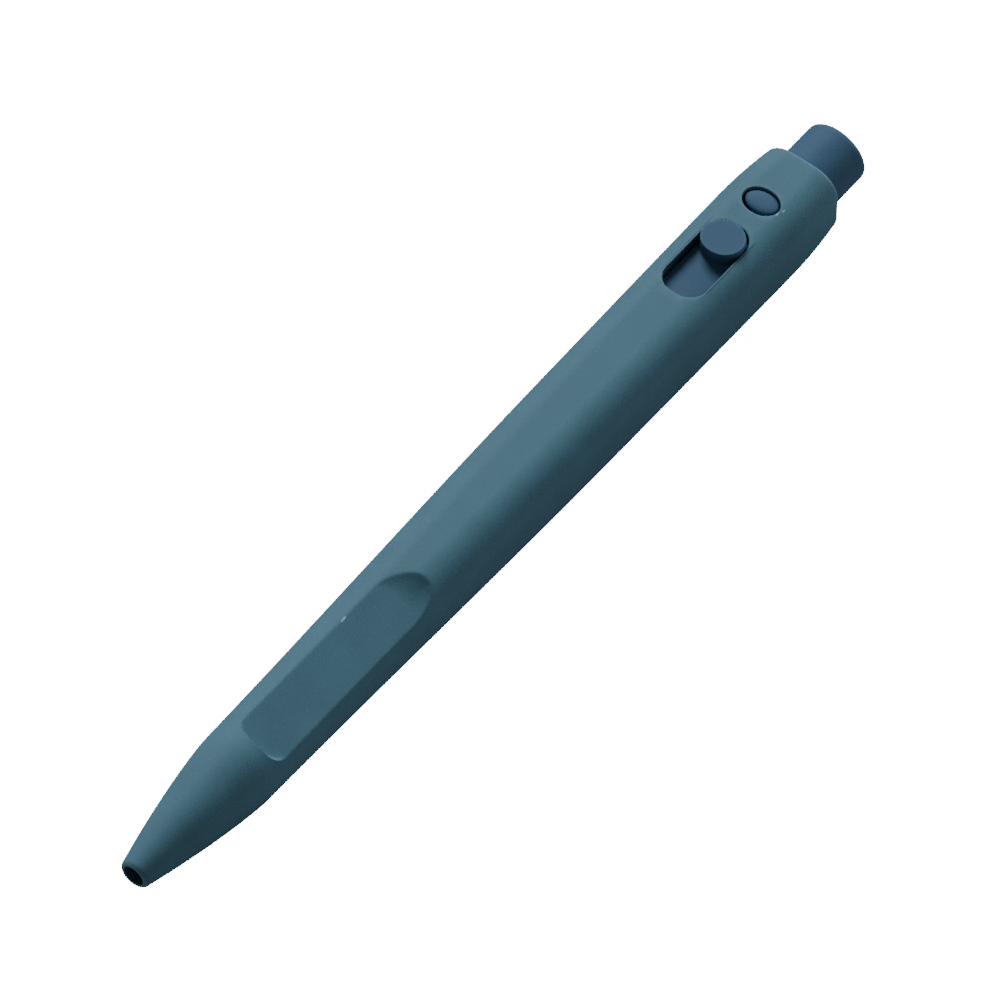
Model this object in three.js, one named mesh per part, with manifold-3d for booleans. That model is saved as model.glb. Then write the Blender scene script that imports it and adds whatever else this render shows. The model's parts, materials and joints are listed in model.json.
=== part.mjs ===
// Retractable ballpoint pen with a one-piece barrel, in millimetres.
// Every station along the pen is a distance u from the nose tip, with u along +X.
// The release button and the slot face +Z, and the pen lies on its flat underside.
import * as THREE from 'three';
import { mergeVertices } from 'three/addons/utils/BufferGeometryUtils.js';
import Module from 'manifold-3d';

const wasm = await Module();
wasm.setup();

// Colours and finishes
const BODY_FINISH = { color: 0x4d7587, roughness: 0.62, metalness: 0 };
const MECHANISM_FINISH = { color: 0x3e6279, roughness: 0.6, metalness: 0 };
const STEEL_FINISH = { color: 0xb9bcc0, roughness: 0.3, metalness: 1 };
const BRASS_FINISH = { color: 0xb79a5b, roughness: 0.35, metalness: 1 };
const REFILL_FINISH = { color: 0xa9adb1, roughness: 0.4, metalness: 1 };
const PLUG_FINISH = { color: 0xd8dadb, roughness: 0.5, metalness: 0 };
const INK_FINISH = { color: 0x10183c, roughness: 0.3, metalness: 0 };
const BALL_FINISH = { color: 0x8a8d90, roughness: 0.15, metalness: 1 };

// Barrel, whose section is a circle at the nose and a rounded rectangle behind the grip
const BARREL_LENGTH = 137.6;
const BARREL_HALF_WIDTH = 6.56;
const BARREL_HALF_HEIGHT = 6.2;
const BARREL_CORNER = 4.3;
const GRIP_RADIUS = 5.55;
const NOSE_LENGTH = 20.74;
const NOSE_BOW = 1.415;
const NOSE_TIP_RADIUS = 1.85;
const NOSE_TIP_ROUND = 0.5;
const FULL_HEIGHT_START = 88.4;
const FULL_WIDTH_START = 125.4;
const WIDENING_BOW = 1.196;
const REAR_TAPER_LENGTH = 10.24;
const REAR_TAPER_SIDES = 0.78;
const REAR_TAPER_HEIGHT = 0.42;
const REAR_EDGE_ROUND = 0.65;
const SECTION_POINTS = 64;

// Bore of the barrel, from the nose to the rear
const NOSE_BORE = 1.5;
const NOSE_BORE_LENGTH = 3.4;
const NOSE_BORE_CHAMFER = 0.2;
const NECK_GUIDE_BORE = 1.8;
const SPRING_SEAT = 8.6;
const SPRING_CHAMBER_BORE = 2.75;
const SPRING_CHAMBER_END = 21;
const REFILL_BORE = 3.1;
const REFILL_BORE_END = 82;
const SOCKET_BORE_END = 93;
const BORE_TAPER = 1.5;

// Clearances between moving pieces
const SLIDE_CLEARANCE = 0.2;
const BUTTON_CLEARANCE = 0.1;
const CATCH_CLEARANCE = 0.2;
const SEAT_CLEARANCE = 0.1;
const BALL_CLEARANCE = 0.03;

// The catch's window near the rear end, a bridge in front of it, and the release button's slot
const WINDOW_TO_END = 7.2;
const WINDOW_LENGTH = 4.2;
const WINDOW_WIDTH = 5.5;
const BRIDGE_LENGTH = 2.9;
const SLOT_LENGTH = 13.5;
const SLOT_WIDTH = 6.4;
const SLOT_CORNER = 2.6;

// Grip flats for thumb and finger, one above and one mirrored below
const FLAT_FRONT = 22.5;
const FLAT_LENGTH = 28.5;
const FLAT_WIDTH = 8;
const FLAT_CORNER = 3.2;
const FLAT_FRONT_LEVEL = 4.15;
const FLAT_REAR_LEVEL = 4.91;
const FLAT_RUN_OUT = 8;
const FLAT_STEPS = 8;
const FLAT_TURN = 21;

// Plunger with the push button, the refill socket and the opening for the tongue
const PLUNGER_RADIUS = 4.7;
const PUSH_BUTTON_REACH = 7.4;
const PUSH_BUTTON_ROUND = 0.8;
const PUSH_BUTTON_WALL = 1.5;
const SOCKET_WALL = 0.9;
const SOCKET_DEPTH = 10.4;
const STOP_WALL = 1.5;
const STOP_HOLE = 1;
const SHOULDER_LEAD = 0.6;

// Flexible tongue, flat on top, that carries the release button and the catch
const TONGUE_TOP = 4.5;
const TONGUE_HALF_WIDTH = 3.1;
const TONGUE_THICKNESS = 1.6;
const TONGUE_ROOM_BELOW = 2.2;
const TONGUE_ARM = 16.45;
const TONGUE_END_WALL = 1.4;
const TONGUE_END_GAP = 0.6;
const CHANNEL_LEAD = 0.5;
const ROOT_GAP = 0.05;
const STUD_OVERLAP = 0.5;
const BUTTON_LENGTH = 5.76;
const BUTTON_STAND = 0.7;
const BUTTON_EDGE_ROUND = 0.2;
const BUTTON_TO_SLOT_END = 0.12;
const CATCH_FRONT_GAP = 0.65;
const CATCH_SIDE_GAP = 0.3;
const CATCH_BELOW_FLUSH = 0.1;
const CATCH_CROWN = 0.3;

// Refill, tip and ball
const TIP_SETBACK = 3.6;
const REFILL_LENGTH = 98;
const REFILL_RADIUS = 2.9;
const REFILL_WALL = 0.3;
const NECK_RADIUS = 1.55;
const NECK_END = 24.6;
const SHOULDER_LENGTH = 1.5;
const TIP_RADIUS = 1.17;
const TIP_LENGTH = 8;
const TIP_CONE_LENGTH = 2.6;
const TIP_FLANGE_LENGTH = 0.5;
const TIP_SHANK_RADIUS = 0.95;
const TIP_SHANK_LENGTH = 5;
const TIP_LIP_RADIUS = 0.56;
const INK_CHANNEL = 0.2;
const BALL_RADIUS = 0.5;
const BALL_SHOWS = 0.28;
const PLUG_HEAD_LENGTH = 4.6;
const PLUG_SHANK_LENGTH = 4;
const PLUG_VENT = 0.4;
const PLUG_NOTCHES = 6;
const PLUG_NOTCH_WIDTH = 0.9;
const PLUG_NOTCH_DEPTH = 0.5;
const INK_LENGTH = 46;

// Return spring
const WIRE_DIAMETER = 0.4;
const SPRING_RADIUS = 2.15;
const SPRING_CURLS = 12;
const STEPS_PER_CURL = 8;
const WIRE_SIDES = 5;

// Sizes and places that follow from the ones above
const PEN_LENGTH = BARREL_LENGTH + PUSH_BUTTON_REACH;
const WINDOW_REAR = BARREL_LENGTH - WINDOW_TO_END;
const WINDOW_FRONT = WINDOW_REAR - WINDOW_LENGTH;
const SLOT_REAR = WINDOW_FRONT - BRIDGE_LENGTH;
const CATCH_REAR = WINDOW_REAR - CATCH_CLEARANCE;
const PRESS_TRAVEL = CATCH_REAR - SLOT_REAR + CATCH_CLEARANCE;
const REAR_BORE = PLUNGER_RADIUS + SLIDE_CLEARANCE;
const REFILL_SOCKET = REFILL_RADIUS + SEAT_CLEARANCE;
const SOCKET_RADIUS = REFILL_SOCKET + SOCKET_WALL;
const SOCKET_BORE = SOCKET_RADIUS + SLIDE_CLEARANCE;
const REFILL_REAR = TIP_SETBACK + REFILL_LENGTH;
const PLUNGER_SHOULDER = SOCKET_BORE_END + BORE_TAPER + PRESS_TRAVEL + SHOULDER_LEAD;
const BUTTON_HALF_WIDTH = SLOT_WIDTH / 2 - BUTTON_CLEARANCE;
const BUTTON_CENTRE = SLOT_REAR - BUTTON_TO_SLOT_END - BUTTON_LENGTH / 2;
const BUTTON_TOP = BARREL_HALF_HEIGHT + BUTTON_STAND;
const TONGUE_ROOT = BUTTON_CENTRE - TONGUE_ARM;
const TONGUE_UNDERSIDE = TONGUE_TOP - TONGUE_THICKNESS;
const TONGUE_END = CATCH_REAR + TONGUE_END_WALL;
const NECK_BORE = TIP_SHANK_RADIUS + SEAT_CLEARANCE;

function finish(look) {
  return new THREE.MeshStandardMaterial({ ...look, flatShading: true });
}

function clamp01(value) {
  return Math.min(1, Math.max(0, value));
}

function ease(value) {
  const t = clamp01(value);
  return t * t * (3 - 2 * t);
}

// Reads a closed geometry as a solid, leaving out slivers on the axis and turning it to face out
function solid(geometry) {
  const bare = geometry.clone();
  bare.deleteAttribute('normal');
  bare.deleteAttribute('uv');
  const merged = mergeVertices(bare, 1e-4);
  const points = merged.attributes.position.array;
  const corner = (i) => new THREE.Vector3().fromArray(points, 3 * i);
  const triangles = [];
  let volume = 0;
  for (let i = 0; i < merged.index.count; i += 3) {
    const [a, b, c] = merged.index.array.slice(i, i + 3);
    if (a === b || b === c || c === a) continue;
    triangles.push([a, b, c]);
    volume += corner(a).dot(corner(b).cross(corner(c)));
  }
  const facingOut = triangles.map(([a, b, c]) => (volume > 0 ? [a, b, c] : [a, c, b]));
  const mesh = new wasm.Mesh({
    numProp: 3,
    vertProperties: new Float32Array(points),
    triVerts: new Uint32Array(facingOut.flat()),
  });
  return new wasm.Manifold(mesh);
}

function namedMesh(name, body, look) {
  const { vertProperties, triVerts } = body.getMesh();
  const geometry = new THREE.BufferGeometry();
  geometry.setAttribute('position', new THREE.BufferAttribute(vertProperties.slice(), 3));
  geometry.setIndex(new THREE.BufferAttribute(triVerts.slice(), 1));
  geometry.computeVertexNormals();
  const mesh = new THREE.Mesh(geometry, finish(look));
  mesh.name = name;
  return mesh;
}

// A solid turned about the pen's axis, from [u, radius] points that close on themselves
function turned(profile, segments) {
  const closed = [...profile, profile[0]];
  const points = closed.map(([u, radius]) => new THREE.Vector2(radius, u));
  const geometry = new THREE.LatheGeometry(points, segments);
  geometry.rotateZ(-Math.PI / 2);
  return solid(geometry);
}

// Points of an arc from one angle to another, in degrees, as [u, radius] pairs
function arc(u, radius, size, from, to, steps) {
  return Array.from({ length: steps + 1 }, (_, i) => {
    const angle = THREE.MathUtils.degToRad(from + ((to - from) * i) / steps);
    return [u + size * Math.cos(angle), radius + size * Math.sin(angle)];
  });
}

// An outline in the plane of u and y, raised from one height to another
function raised(shape, low, high, curveSegments) {
  const geometry = new THREE.ExtrudeGeometry(shape, {
    depth: high - low,
    bevelEnabled: false,
    curveSegments,
  });
  geometry.translate(0, 0, low);
  return solid(geometry);
}

function block(u0, u1, halfWidth, low, high) {
  const geometry = new THREE.BoxGeometry(u1 - u0, 2 * halfWidth, high - low);
  geometry.translate((u0 + u1) / 2, 0, (low + high) / 2);
  return solid(geometry);
}

// A rectangle with round corners, which is an obround where the corner is half the width
function roundedOutline(u0, u1, width, corner) {
  const half = width / 2;
  const shape = new THREE.Shape();
  shape.absarc(u1 - corner, half - corner, corner, Math.PI / 2, 0, true);
  shape.absarc(u1 - corner, corner - half, corner, 0, -Math.PI / 2, true);
  shape.absarc(u0 + corner, corner - half, corner, -Math.PI / 2, -Math.PI, true);
  shape.absarc(u0 + corner, half - corner, corner, Math.PI, Math.PI / 2, true);
  return shape;
}

function ellipseOutline(u0, u1, width) {
  const shape = new THREE.Shape();
  shape.absellipse((u0 + u1) / 2, 0, (u1 - u0) / 2, width / 2, 0, 2 * Math.PI);
  return shape;
}

// The nose's radius: a cone that rounds over into the grip, with a rounded rim at the tip
function noseRadius(u) {
  const t = clamp01(u / NOSE_LENGTH);
  const bow = 1 - (1 - t) ** NOSE_BOW;
  const start = NOSE_TIP_RADIUS + NOSE_TIP_ROUND / 2;
  const cone = start + (GRIP_RADIUS - start) * bow;
  const rim = clamp01(1 - u / NOSE_TIP_ROUND);
  return cone - (NOSE_TIP_ROUND / 2) * rim ** 2;
}

// Half width, half height and corner radius of the barrel's section at a station
function barrelSection(u) {
  if (u < NOSE_LENGTH) {
    const radius = noseRadius(u);
    return { width: radius, height: radius, corner: radius };
  }
  const square = ease((u - NOSE_LENGTH) / (FULL_HEIGHT_START - NOSE_LENGTH));
  const along = clamp01((u - NOSE_LENGTH) / (FULL_WIDTH_START - NOSE_LENGTH));
  const spread = 1 - (1 - along) ** WIDENING_BOW;
  const width = GRIP_RADIUS + (BARREL_HALF_WIDTH - GRIP_RADIUS) * spread;
  const height = GRIP_RADIUS + (BARREL_HALF_HEIGHT - GRIP_RADIUS) * square;
  const corner = GRIP_RADIUS + (BARREL_CORNER - GRIP_RADIUS) * square;
  const taperStart = BARREL_LENGTH - REAR_TAPER_LENGTH;
  const taper = clamp01((u - taperStart) / REAR_TAPER_LENGTH) ** 2;
  const past = clamp01((u - BARREL_LENGTH + REAR_EDGE_ROUND) / REAR_EDGE_ROUND);
  const edge = REAR_EDGE_ROUND * (1 - Math.sqrt(1 - past * past));
  return {
    width: width - REAR_TAPER_SIDES * taper - edge,
    height: height - REAR_TAPER_HEIGHT * taper - edge,
    corner: corner - REAR_TAPER_HEIGHT * taper - edge,
  };
}

// Distance from the axis to the rounded rectangle's edge in a given direction
function sectionReach({ width, height, corner }, angle) {
  const across = Math.abs(Math.cos(angle));
  const up = Math.abs(Math.sin(angle));
  const cy = width - corner;
  const cz = height - corner;
  if (across * cz >= up * width) return width / across;
  if (up * cy >= across * height) return height / up;
  const along = across * cy + up * cz;
  return along + Math.sqrt(along * along - cy * cy - cz * cz + corner * corner);
}

// Evenly spaced stations after the first one, up to and with the last
function evenStations(first, last, count) {
  return Array.from({ length: count }, (_, i) => first + ((i + 1) / count) * (last - first));
}

// Stations along the barrel from the nose tip to the rear end
function barrelStations() {
  const rim = [0, 0.2, 0.4, 1].map((share) => share * NOSE_TIP_ROUND);
  const nose = evenStations(NOSE_TIP_ROUND, NOSE_LENGTH, 14);
  const taperStart = BARREL_LENGTH - REAR_TAPER_LENGTH;
  const body = evenStations(NOSE_LENGTH, taperStart, 20);
  const edgeStart = BARREL_LENGTH - REAR_EDGE_ROUND;
  const taper = evenStations(taperStart, edgeStart, 4);
  const edge = [30, 60, 90].map((degrees) => {
    return edgeStart + REAR_EDGE_ROUND * Math.sin(THREE.MathUtils.degToRad(degrees));
  });
  return [...rim, ...nose, ...body, ...taper, ...edge];
}

// The barrel's outside as rings of points, closed by a flat face at each end
function barrelOutside() {
  const stations = barrelStations();
  const positions = [];
  for (const u of stations) {
    const section = barrelSection(u);
    for (let i = 0; i < SECTION_POINTS; i += 1) {
      const angle = (2 * Math.PI * i) / SECTION_POINTS;
      const reach = sectionReach(section, angle);
      positions.push(u, reach * Math.cos(angle), reach * Math.sin(angle));
    }
  }
  const indices = [];
  for (let ring = 0; ring + 1 < stations.length; ring += 1) {
    for (let i = 0; i < SECTION_POINTS; i += 1) {
      const next = (i + 1) % SECTION_POINTS;
      const a = ring * SECTION_POINTS + i;
      const b = ring * SECTION_POINTS + next;
      indices.push(a, b, a + SECTION_POINTS, b, b + SECTION_POINTS, a + SECTION_POINTS);
    }
  }
  const front = positions.length / 3;
  const rear = front + 1;
  const last = (stations.length - 1) * SECTION_POINTS;
  positions.push(stations[0], 0, 0, stations.at(-1), 0, 0);
  for (let i = 0; i < SECTION_POINTS; i += 1) {
    const next = (i + 1) % SECTION_POINTS;
    indices.push(front, next, i, rear, last + i, last + next);
  }
  const geometry = new THREE.BufferGeometry();
  geometry.setAttribute('position', new THREE.Float32BufferAttribute(positions, 3));
  geometry.setIndex(indices);
  return solid(geometry);
}

function barrelBore() {
  const beyond = 1;
  return turned([
    [-beyond, 0],
    [-beyond, NOSE_BORE + NOSE_BORE_CHAMFER],
    [0, NOSE_BORE + NOSE_BORE_CHAMFER],
    [NOSE_BORE_CHAMFER, NOSE_BORE],
    [NOSE_BORE_LENGTH, NOSE_BORE],
    [NOSE_BORE_LENGTH + NECK_GUIDE_BORE - NOSE_BORE, NECK_GUIDE_BORE],
    [SPRING_SEAT, NECK_GUIDE_BORE],
    [SPRING_SEAT, SPRING_CHAMBER_BORE],
    [SPRING_CHAMBER_END, SPRING_CHAMBER_BORE],
    [SPRING_CHAMBER_END + REFILL_BORE - SPRING_CHAMBER_BORE, REFILL_BORE],
    [REFILL_BORE_END, REFILL_BORE],
    [REFILL_BORE_END + BORE_TAPER, SOCKET_BORE],
    [SOCKET_BORE_END, SOCKET_BORE],
    [SOCKET_BORE_END + BORE_TAPER, REAR_BORE],
    [BARREL_LENGTH + beyond, REAR_BORE],
    [BARREL_LENGTH + beyond, 0],
  ], 48);
}

// Draws a flat's rear end back with height, in an arc that leaves the floor smoothly
function runOutToRear(geometry) {
  const position = geometry.getAttribute('position');
  for (let i = 0; i < position.count; i += 1) {
    const rise = Math.min(position.getZ(i), FLAT_RUN_OUT);
    const back = Math.sqrt(FLAT_RUN_OUT ** 2 - (FLAT_RUN_OUT - rise) ** 2);
    if (position.getX(i) > FLAT_LENGTH / 2) position.setX(i, position.getX(i) + back);
  }
}

// The space above a grip flat, whose floor rises to the rear and is turned about the axis
function gripFlat(side) {
  const outline = roundedOutline(0, FLAT_LENGTH, FLAT_WIDTH, FLAT_CORNER);
  const geometry = new THREE.ExtrudeGeometry(outline, {
    depth: BARREL_HALF_WIDTH - FLAT_FRONT_LEVEL,
    steps: FLAT_STEPS,
    bevelEnabled: false,
    curveSegments: 8,
  });
  runOutToRear(geometry);
  geometry.rotateY(-Math.atan2(FLAT_REAR_LEVEL - FLAT_FRONT_LEVEL, FLAT_LENGTH));
  geometry.translate(FLAT_FRONT, 0, FLAT_FRONT_LEVEL);
  const turn = side > 0 ? FLAT_TURN : 180 - FLAT_TURN;
  geometry.rotateX(THREE.MathUtils.degToRad(turn));
  return solid(geometry);
}

// The flat-topped channel in the bore that the tongue slides in, and that keeps it from turning
function tongueChannel() {
  const front = TONGUE_ROOT - PRESS_TRAVEL - CHANNEL_LEAD;
  const rear = TONGUE_END + TONGUE_END_GAP;
  return block(front, rear, TONGUE_HALF_WIDTH + SLIDE_CLEARANCE, 0, TONGUE_TOP + SLIDE_CLEARANCE);
}

function makeBarrel() {
  const above = BARREL_HALF_HEIGHT + 1;
  const slot = roundedOutline(SLOT_REAR - SLOT_LENGTH, SLOT_REAR, SLOT_WIDTH, SLOT_CORNER);
  const window = ellipseOutline(WINDOW_FRONT, WINDOW_REAR, WINDOW_WIDTH);
  const body = barrelOutside()
    .subtract(gripFlat(1))
    .subtract(gripFlat(-1))
    .subtract(barrelBore())
    .subtract(tongueChannel())
    .subtract(raised(slot, 0, above, 12))
    .subtract(raised(window, 0, above, 16));
  return namedMesh('barrel', body, BODY_FINISH);
}

// The plunger's outline turned about the axis: socket in front, push button at the rear
function plungerBody() {
  const socketFront = REFILL_REAR - SOCKET_DEPTH;
  const stop = REFILL_REAR + SEAT_CLEARANCE;
  const roundCentre = PEN_LENGTH - PUSH_BUTTON_ROUND;
  return turned([
    [socketFront, REFILL_SOCKET],
    [socketFront, SOCKET_RADIUS],
    [PLUNGER_SHOULDER - SHOULDER_LEAD, SOCKET_RADIUS],
    [PLUNGER_SHOULDER, PLUNGER_RADIUS],
    ...arc(roundCentre, PLUNGER_RADIUS - PUSH_BUTTON_ROUND, PUSH_BUTTON_ROUND, 90, 0, 4),
    [PEN_LENGTH, 0],
    [PEN_LENGTH - PUSH_BUTTON_WALL, 0],
    [PEN_LENGTH - PUSH_BUTTON_WALL, REFILL_SOCKET],
    [stop + STOP_WALL, REFILL_SOCKET],
    [stop + STOP_WALL, STOP_HOLE],
    [stop, STOP_HOLE],
    [stop, REFILL_SOCKET],
  ], 40);
}

function makePlunger() {
  const low = TONGUE_UNDERSIDE - TONGUE_ROOM_BELOW;
  const above = PLUNGER_RADIUS + 1;
  const opening = block(TONGUE_ROOT, TONGUE_END + TONGUE_END_GAP, above, low, above);
  return namedMesh('plunger', plungerBody().subtract(opening), MECHANISM_FINISH);
}

// An oval stud on the tongue, from a profile of [share of the half size, height] points
function ovalStud(front, rear, halfWidth, profile) {
  const low = TONGUE_TOP - STUD_OVERLAP;
  const points = [[0, low], [1, low], ...profile];
  const geometry = new THREE.LatheGeometry(points.map(([r, z]) => new THREE.Vector2(r, z)), 36);
  geometry.rotateX(Math.PI / 2);
  geometry.scale((rear - front) / 2, halfWidth, 1);
  geometry.translate((front + rear) / 2, 0, 0);
  return solid(geometry);
}

// The release button, flat on top with a softened edge
function releaseButton() {
  const front = BUTTON_CENTRE - BUTTON_LENGTH / 2;
  const round = BUTTON_EDGE_ROUND / BUTTON_HALF_WIDTH;
  const edge = [0, 30, 60, 90].map((degrees) => {
    const angle = THREE.MathUtils.degToRad(degrees);
    return [1 - round * (1 - Math.cos(angle)), BUTTON_TOP - BUTTON_EDGE_ROUND * (1 - Math.sin(angle))];
  });
  return ovalStud(front, front + BUTTON_LENGTH, BUTTON_HALF_WIDTH, [...edge, [0, BUTTON_TOP]]);
}

// The catch that stands in the window, with a crowned top
function catchStud() {
  const top = BARREL_HALF_HEIGHT - CATCH_BELOW_FLUSH;
  const points = [[1, top - CATCH_CROWN]];
  for (let degrees = 15; degrees < 90; degrees += 15) {
    const angle = THREE.MathUtils.degToRad(degrees);
    points.push([Math.cos(angle) ** 0.7, top - CATCH_CROWN * (1 - Math.sin(angle))]);
  }
  points.push([0, top]);
  return ovalStud(WINDOW_FRONT + CATCH_FRONT_GAP, CATCH_REAR, WINDOW_WIDTH / 2 - CATCH_SIDE_GAP, points);
}

function makeTongue() {
  const start = TONGUE_ROOT + ROOT_GAP;
  const strip = block(start, TONGUE_END, TONGUE_HALF_WIDTH, TONGUE_UNDERSIDE, TONGUE_TOP);
  const body = strip.add(releaseButton()).add(catchStud());
  return namedMesh('release_tongue', body, MECHANISM_FINISH);
}

function makeRefillTube() {
  const front = TIP_SETBACK + TIP_LENGTH + TIP_FLANGE_LENGTH;
  const neckEnd = TIP_SETBACK + NECK_END;
  const rear = REFILL_REAR - PLUG_HEAD_LENGTH;
  const inner = REFILL_RADIUS - REFILL_WALL;
  const body = turned([
    [front, NECK_BORE],
    [front, NECK_RADIUS],
    [neckEnd, NECK_RADIUS],
    [neckEnd + SHOULDER_LENGTH, REFILL_RADIUS],
    [rear, REFILL_RADIUS],
    [rear, inner],
    [neckEnd + SHOULDER_LENGTH + REFILL_WALL, inner],
    [neckEnd + REFILL_WALL, NECK_BORE],
  ], 28);
  return namedMesh('refill_tube', body, REFILL_FINISH);
}

function makeRefillPlug() {
  const head = REFILL_REAR - PLUG_HEAD_LENGTH;
  const shank = REFILL_RADIUS - REFILL_WALL - SEAT_CLEARANCE;
  let body = turned([
    [head - PLUG_SHANK_LENGTH, PLUG_VENT],
    [head - PLUG_SHANK_LENGTH, shank],
    [head, shank],
    [head, REFILL_RADIUS],
    [REFILL_REAR - PLUG_NOTCH_DEPTH, REFILL_RADIUS],
    [REFILL_REAR, REFILL_RADIUS - PLUG_NOTCH_DEPTH],
    [REFILL_REAR, PLUG_VENT],
  ], 24);
  for (let i = 0; i < PLUG_NOTCHES; i += 1) {
    const geometry = new THREE.BoxGeometry(PLUG_HEAD_LENGTH, PLUG_NOTCH_DEPTH * 2, PLUG_NOTCH_WIDTH);
    geometry.translate(REFILL_REAR, REFILL_RADIUS, 0);
    geometry.rotateX((2 * Math.PI * i) / PLUG_NOTCHES);
    body = body.subtract(solid(geometry));
  }
  return namedMesh('refill_end_plug', body, PLUG_FINISH);
}

// The ink fills the neck behind the tip and the front of the wide tube
function makeInk() {
  const gap = SEAT_CLEARANCE / 2;
  const front = TIP_SETBACK + TIP_LENGTH + TIP_FLANGE_LENGTH + TIP_SHANK_LENGTH + SEAT_CLEARANCE;
  const neckEnd = TIP_SETBACK + NECK_END + REFILL_WALL + gap;
  const wide = REFILL_RADIUS - REFILL_WALL - gap;
  const rear = neckEnd + SHOULDER_LENGTH + INK_LENGTH;
  const body = turned([
    [front, 0],
    [front, NECK_BORE - gap],
    [neckEnd, NECK_BORE - gap],
    [neckEnd + SHOULDER_LENGTH, wide],
    [rear, wide],
    [rear, 0],
  ], 24);
  return namedMesh('ink_column', body, INK_FINISH);
}

// The writing tip: a cone that is rolled over the ball, and a shank pressed into the neck
function makeTip() {
  const lip = TIP_SETBACK + BALL_SHOWS;
  const centre = TIP_SETBACK + BALL_RADIUS;
  const seat = BALL_RADIUS + BALL_CLEARANCE;
  const lipAngle = THREE.MathUtils.radToDeg(Math.acos((lip - centre) / seat));
  const channelAngle = THREE.MathUtils.radToDeg(Math.asin(INK_CHANNEL / seat));
  const flange = TIP_SETBACK + TIP_LENGTH;
  const shank = flange + TIP_FLANGE_LENGTH;
  const body = turned([
    ...arc(centre, 0, seat, channelAngle, lipAngle, 8),
    [lip, TIP_LIP_RADIUS],
    [TIP_SETBACK + TIP_CONE_LENGTH, TIP_RADIUS],
    [flange, TIP_RADIUS],
    [flange, NECK_RADIUS],
    [shank, NECK_RADIUS],
    [shank, TIP_SHANK_RADIUS],
    [shank + TIP_SHANK_LENGTH, TIP_SHANK_RADIUS],
    [shank + TIP_SHANK_LENGTH, INK_CHANNEL],
  ], 24);
  return namedMesh('refill_tip', body, BRASS_FINISH);
}

function makeBall() {
  const geometry = new THREE.SphereGeometry(BALL_RADIUS, 20, 12);
  geometry.rotateZ(Math.PI / 2);
  geometry.translate(TIP_SETBACK + BALL_RADIUS, 0, 0);
  return namedMesh('writing_ball', solid(geometry), BALL_FINISH);
}

// Where the spring's wire starts and ends: on the barrel's seat and the refill's shoulder
function springEnds() {
  const shoulder = TIP_SETBACK + NECK_END;
  const rise = (SPRING_RADIUS - WIRE_DIAMETER / 2 - NECK_RADIUS) / (REFILL_RADIUS - NECK_RADIUS);
  const start = SPRING_SEAT + WIRE_DIAMETER / 2 + SEAT_CLEARANCE;
  const end = shoulder + rise * SHOULDER_LENGTH - WIRE_DIAMETER / 2 - SEAT_CLEARANCE;
  return { start, end };
}

function springCentres() {
  const { start, end } = springEnds();
  const steps = SPRING_CURLS * STEPS_PER_CURL;
  return Array.from({ length: steps + 1 }, (_, i) => {
    const angle = (2 * Math.PI * i) / STEPS_PER_CURL;
    const u = start + ((end - start) * i) / steps;
    return new THREE.Vector3(u, SPRING_RADIUS * Math.cos(angle), SPRING_RADIUS * Math.sin(angle));
  });
}

// The least distance between the wire's sides where it passes itself
function leastSpringGap(centres) {
  let least = Infinity;
  centres.forEach((point, i) => {
    for (let j = i + STEPS_PER_CURL / 2; j < centres.length; j += 1) {
      least = Math.min(least, point.distanceTo(centres[j]));
    }
  });
  return least - WIRE_DIAMETER;
}

function makeSpring() {
  const centres = springCentres();
  const pitch = (centres.at(-1).x - centres[0].x) / SPRING_CURLS;
  console.log(`return_spring least gap between curls: ${leastSpringGap(centres).toFixed(3)} mm`);
  const positions = [];
  centres.forEach((centre) => {
    const outward = new THREE.Vector3(0, centre.y, centre.z).normalize();
    const around = new THREE.Vector3(0, -outward.z, outward.y).multiplyScalar(2 * Math.PI * SPRING_RADIUS);
    const forward = around.add(new THREE.Vector3(pitch, 0, 0)).normalize();
    const beside = new THREE.Vector3().crossVectors(forward, outward);
    for (let side = 0; side < WIRE_SIDES; side += 1) {
      const angle = (2 * Math.PI * side) / WIRE_SIDES;
      const point = centre.clone();
      point.addScaledVector(outward, (WIRE_DIAMETER / 2) * Math.cos(angle));
      point.addScaledVector(beside, (WIRE_DIAMETER / 2) * Math.sin(angle));
      positions.push(...point.toArray());
    }
  });
  const indices = [];
  for (let ring = 0; ring + 1 < centres.length; ring += 1) {
    for (let side = 0; side < WIRE_SIDES; side += 1) {
      const a = ring * WIRE_SIDES + side;
      const b = ring * WIRE_SIDES + ((side + 1) % WIRE_SIDES);
      indices.push(a, b, a + WIRE_SIDES, b, b + WIRE_SIDES, a + WIRE_SIDES);
    }
  }
  const last = (centres.length - 1) * WIRE_SIDES;
  for (let side = 1; side + 1 < WIRE_SIDES; side += 1) {
    indices.push(0, side + 1, side, last, last + side, last + side + 1);
  }
  const geometry = new THREE.BufferGeometry();
  geometry.setAttribute('position', new THREE.Float32BufferAttribute(positions, 3));
  geometry.setIndex(indices);
  return namedMesh('return_spring', solid(geometry), STEEL_FINISH);
}

function makePen() {
  const pen = new THREE.Group();
  pen.add(
    makeBarrel(),
    makePlunger(),
    makeTongue(),
    makeSpring(),
    makeRefillTube(),
    makeRefillPlug(),
    makeInk(),
    makeTip(),
    makeBall(),
  );
  pen.position.set(-PEN_LENGTH / 2, 0, BARREL_HALF_HEIGHT);
  const whole = new THREE.Group();
  whole.add(pen);
  return whole;
}

export default makePen();
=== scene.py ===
"""A retractable ballpoint pen with a one-piece barrel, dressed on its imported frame.

A station along the pen is a distance u from the nose tip, in millimetres, with u along +X.
Heights z are measured from the pen's axis, and y is across the pen.
"""

import json
import logging
import math
from collections.abc import Sequence
from dataclasses import dataclass, field
from enum import Enum

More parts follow.
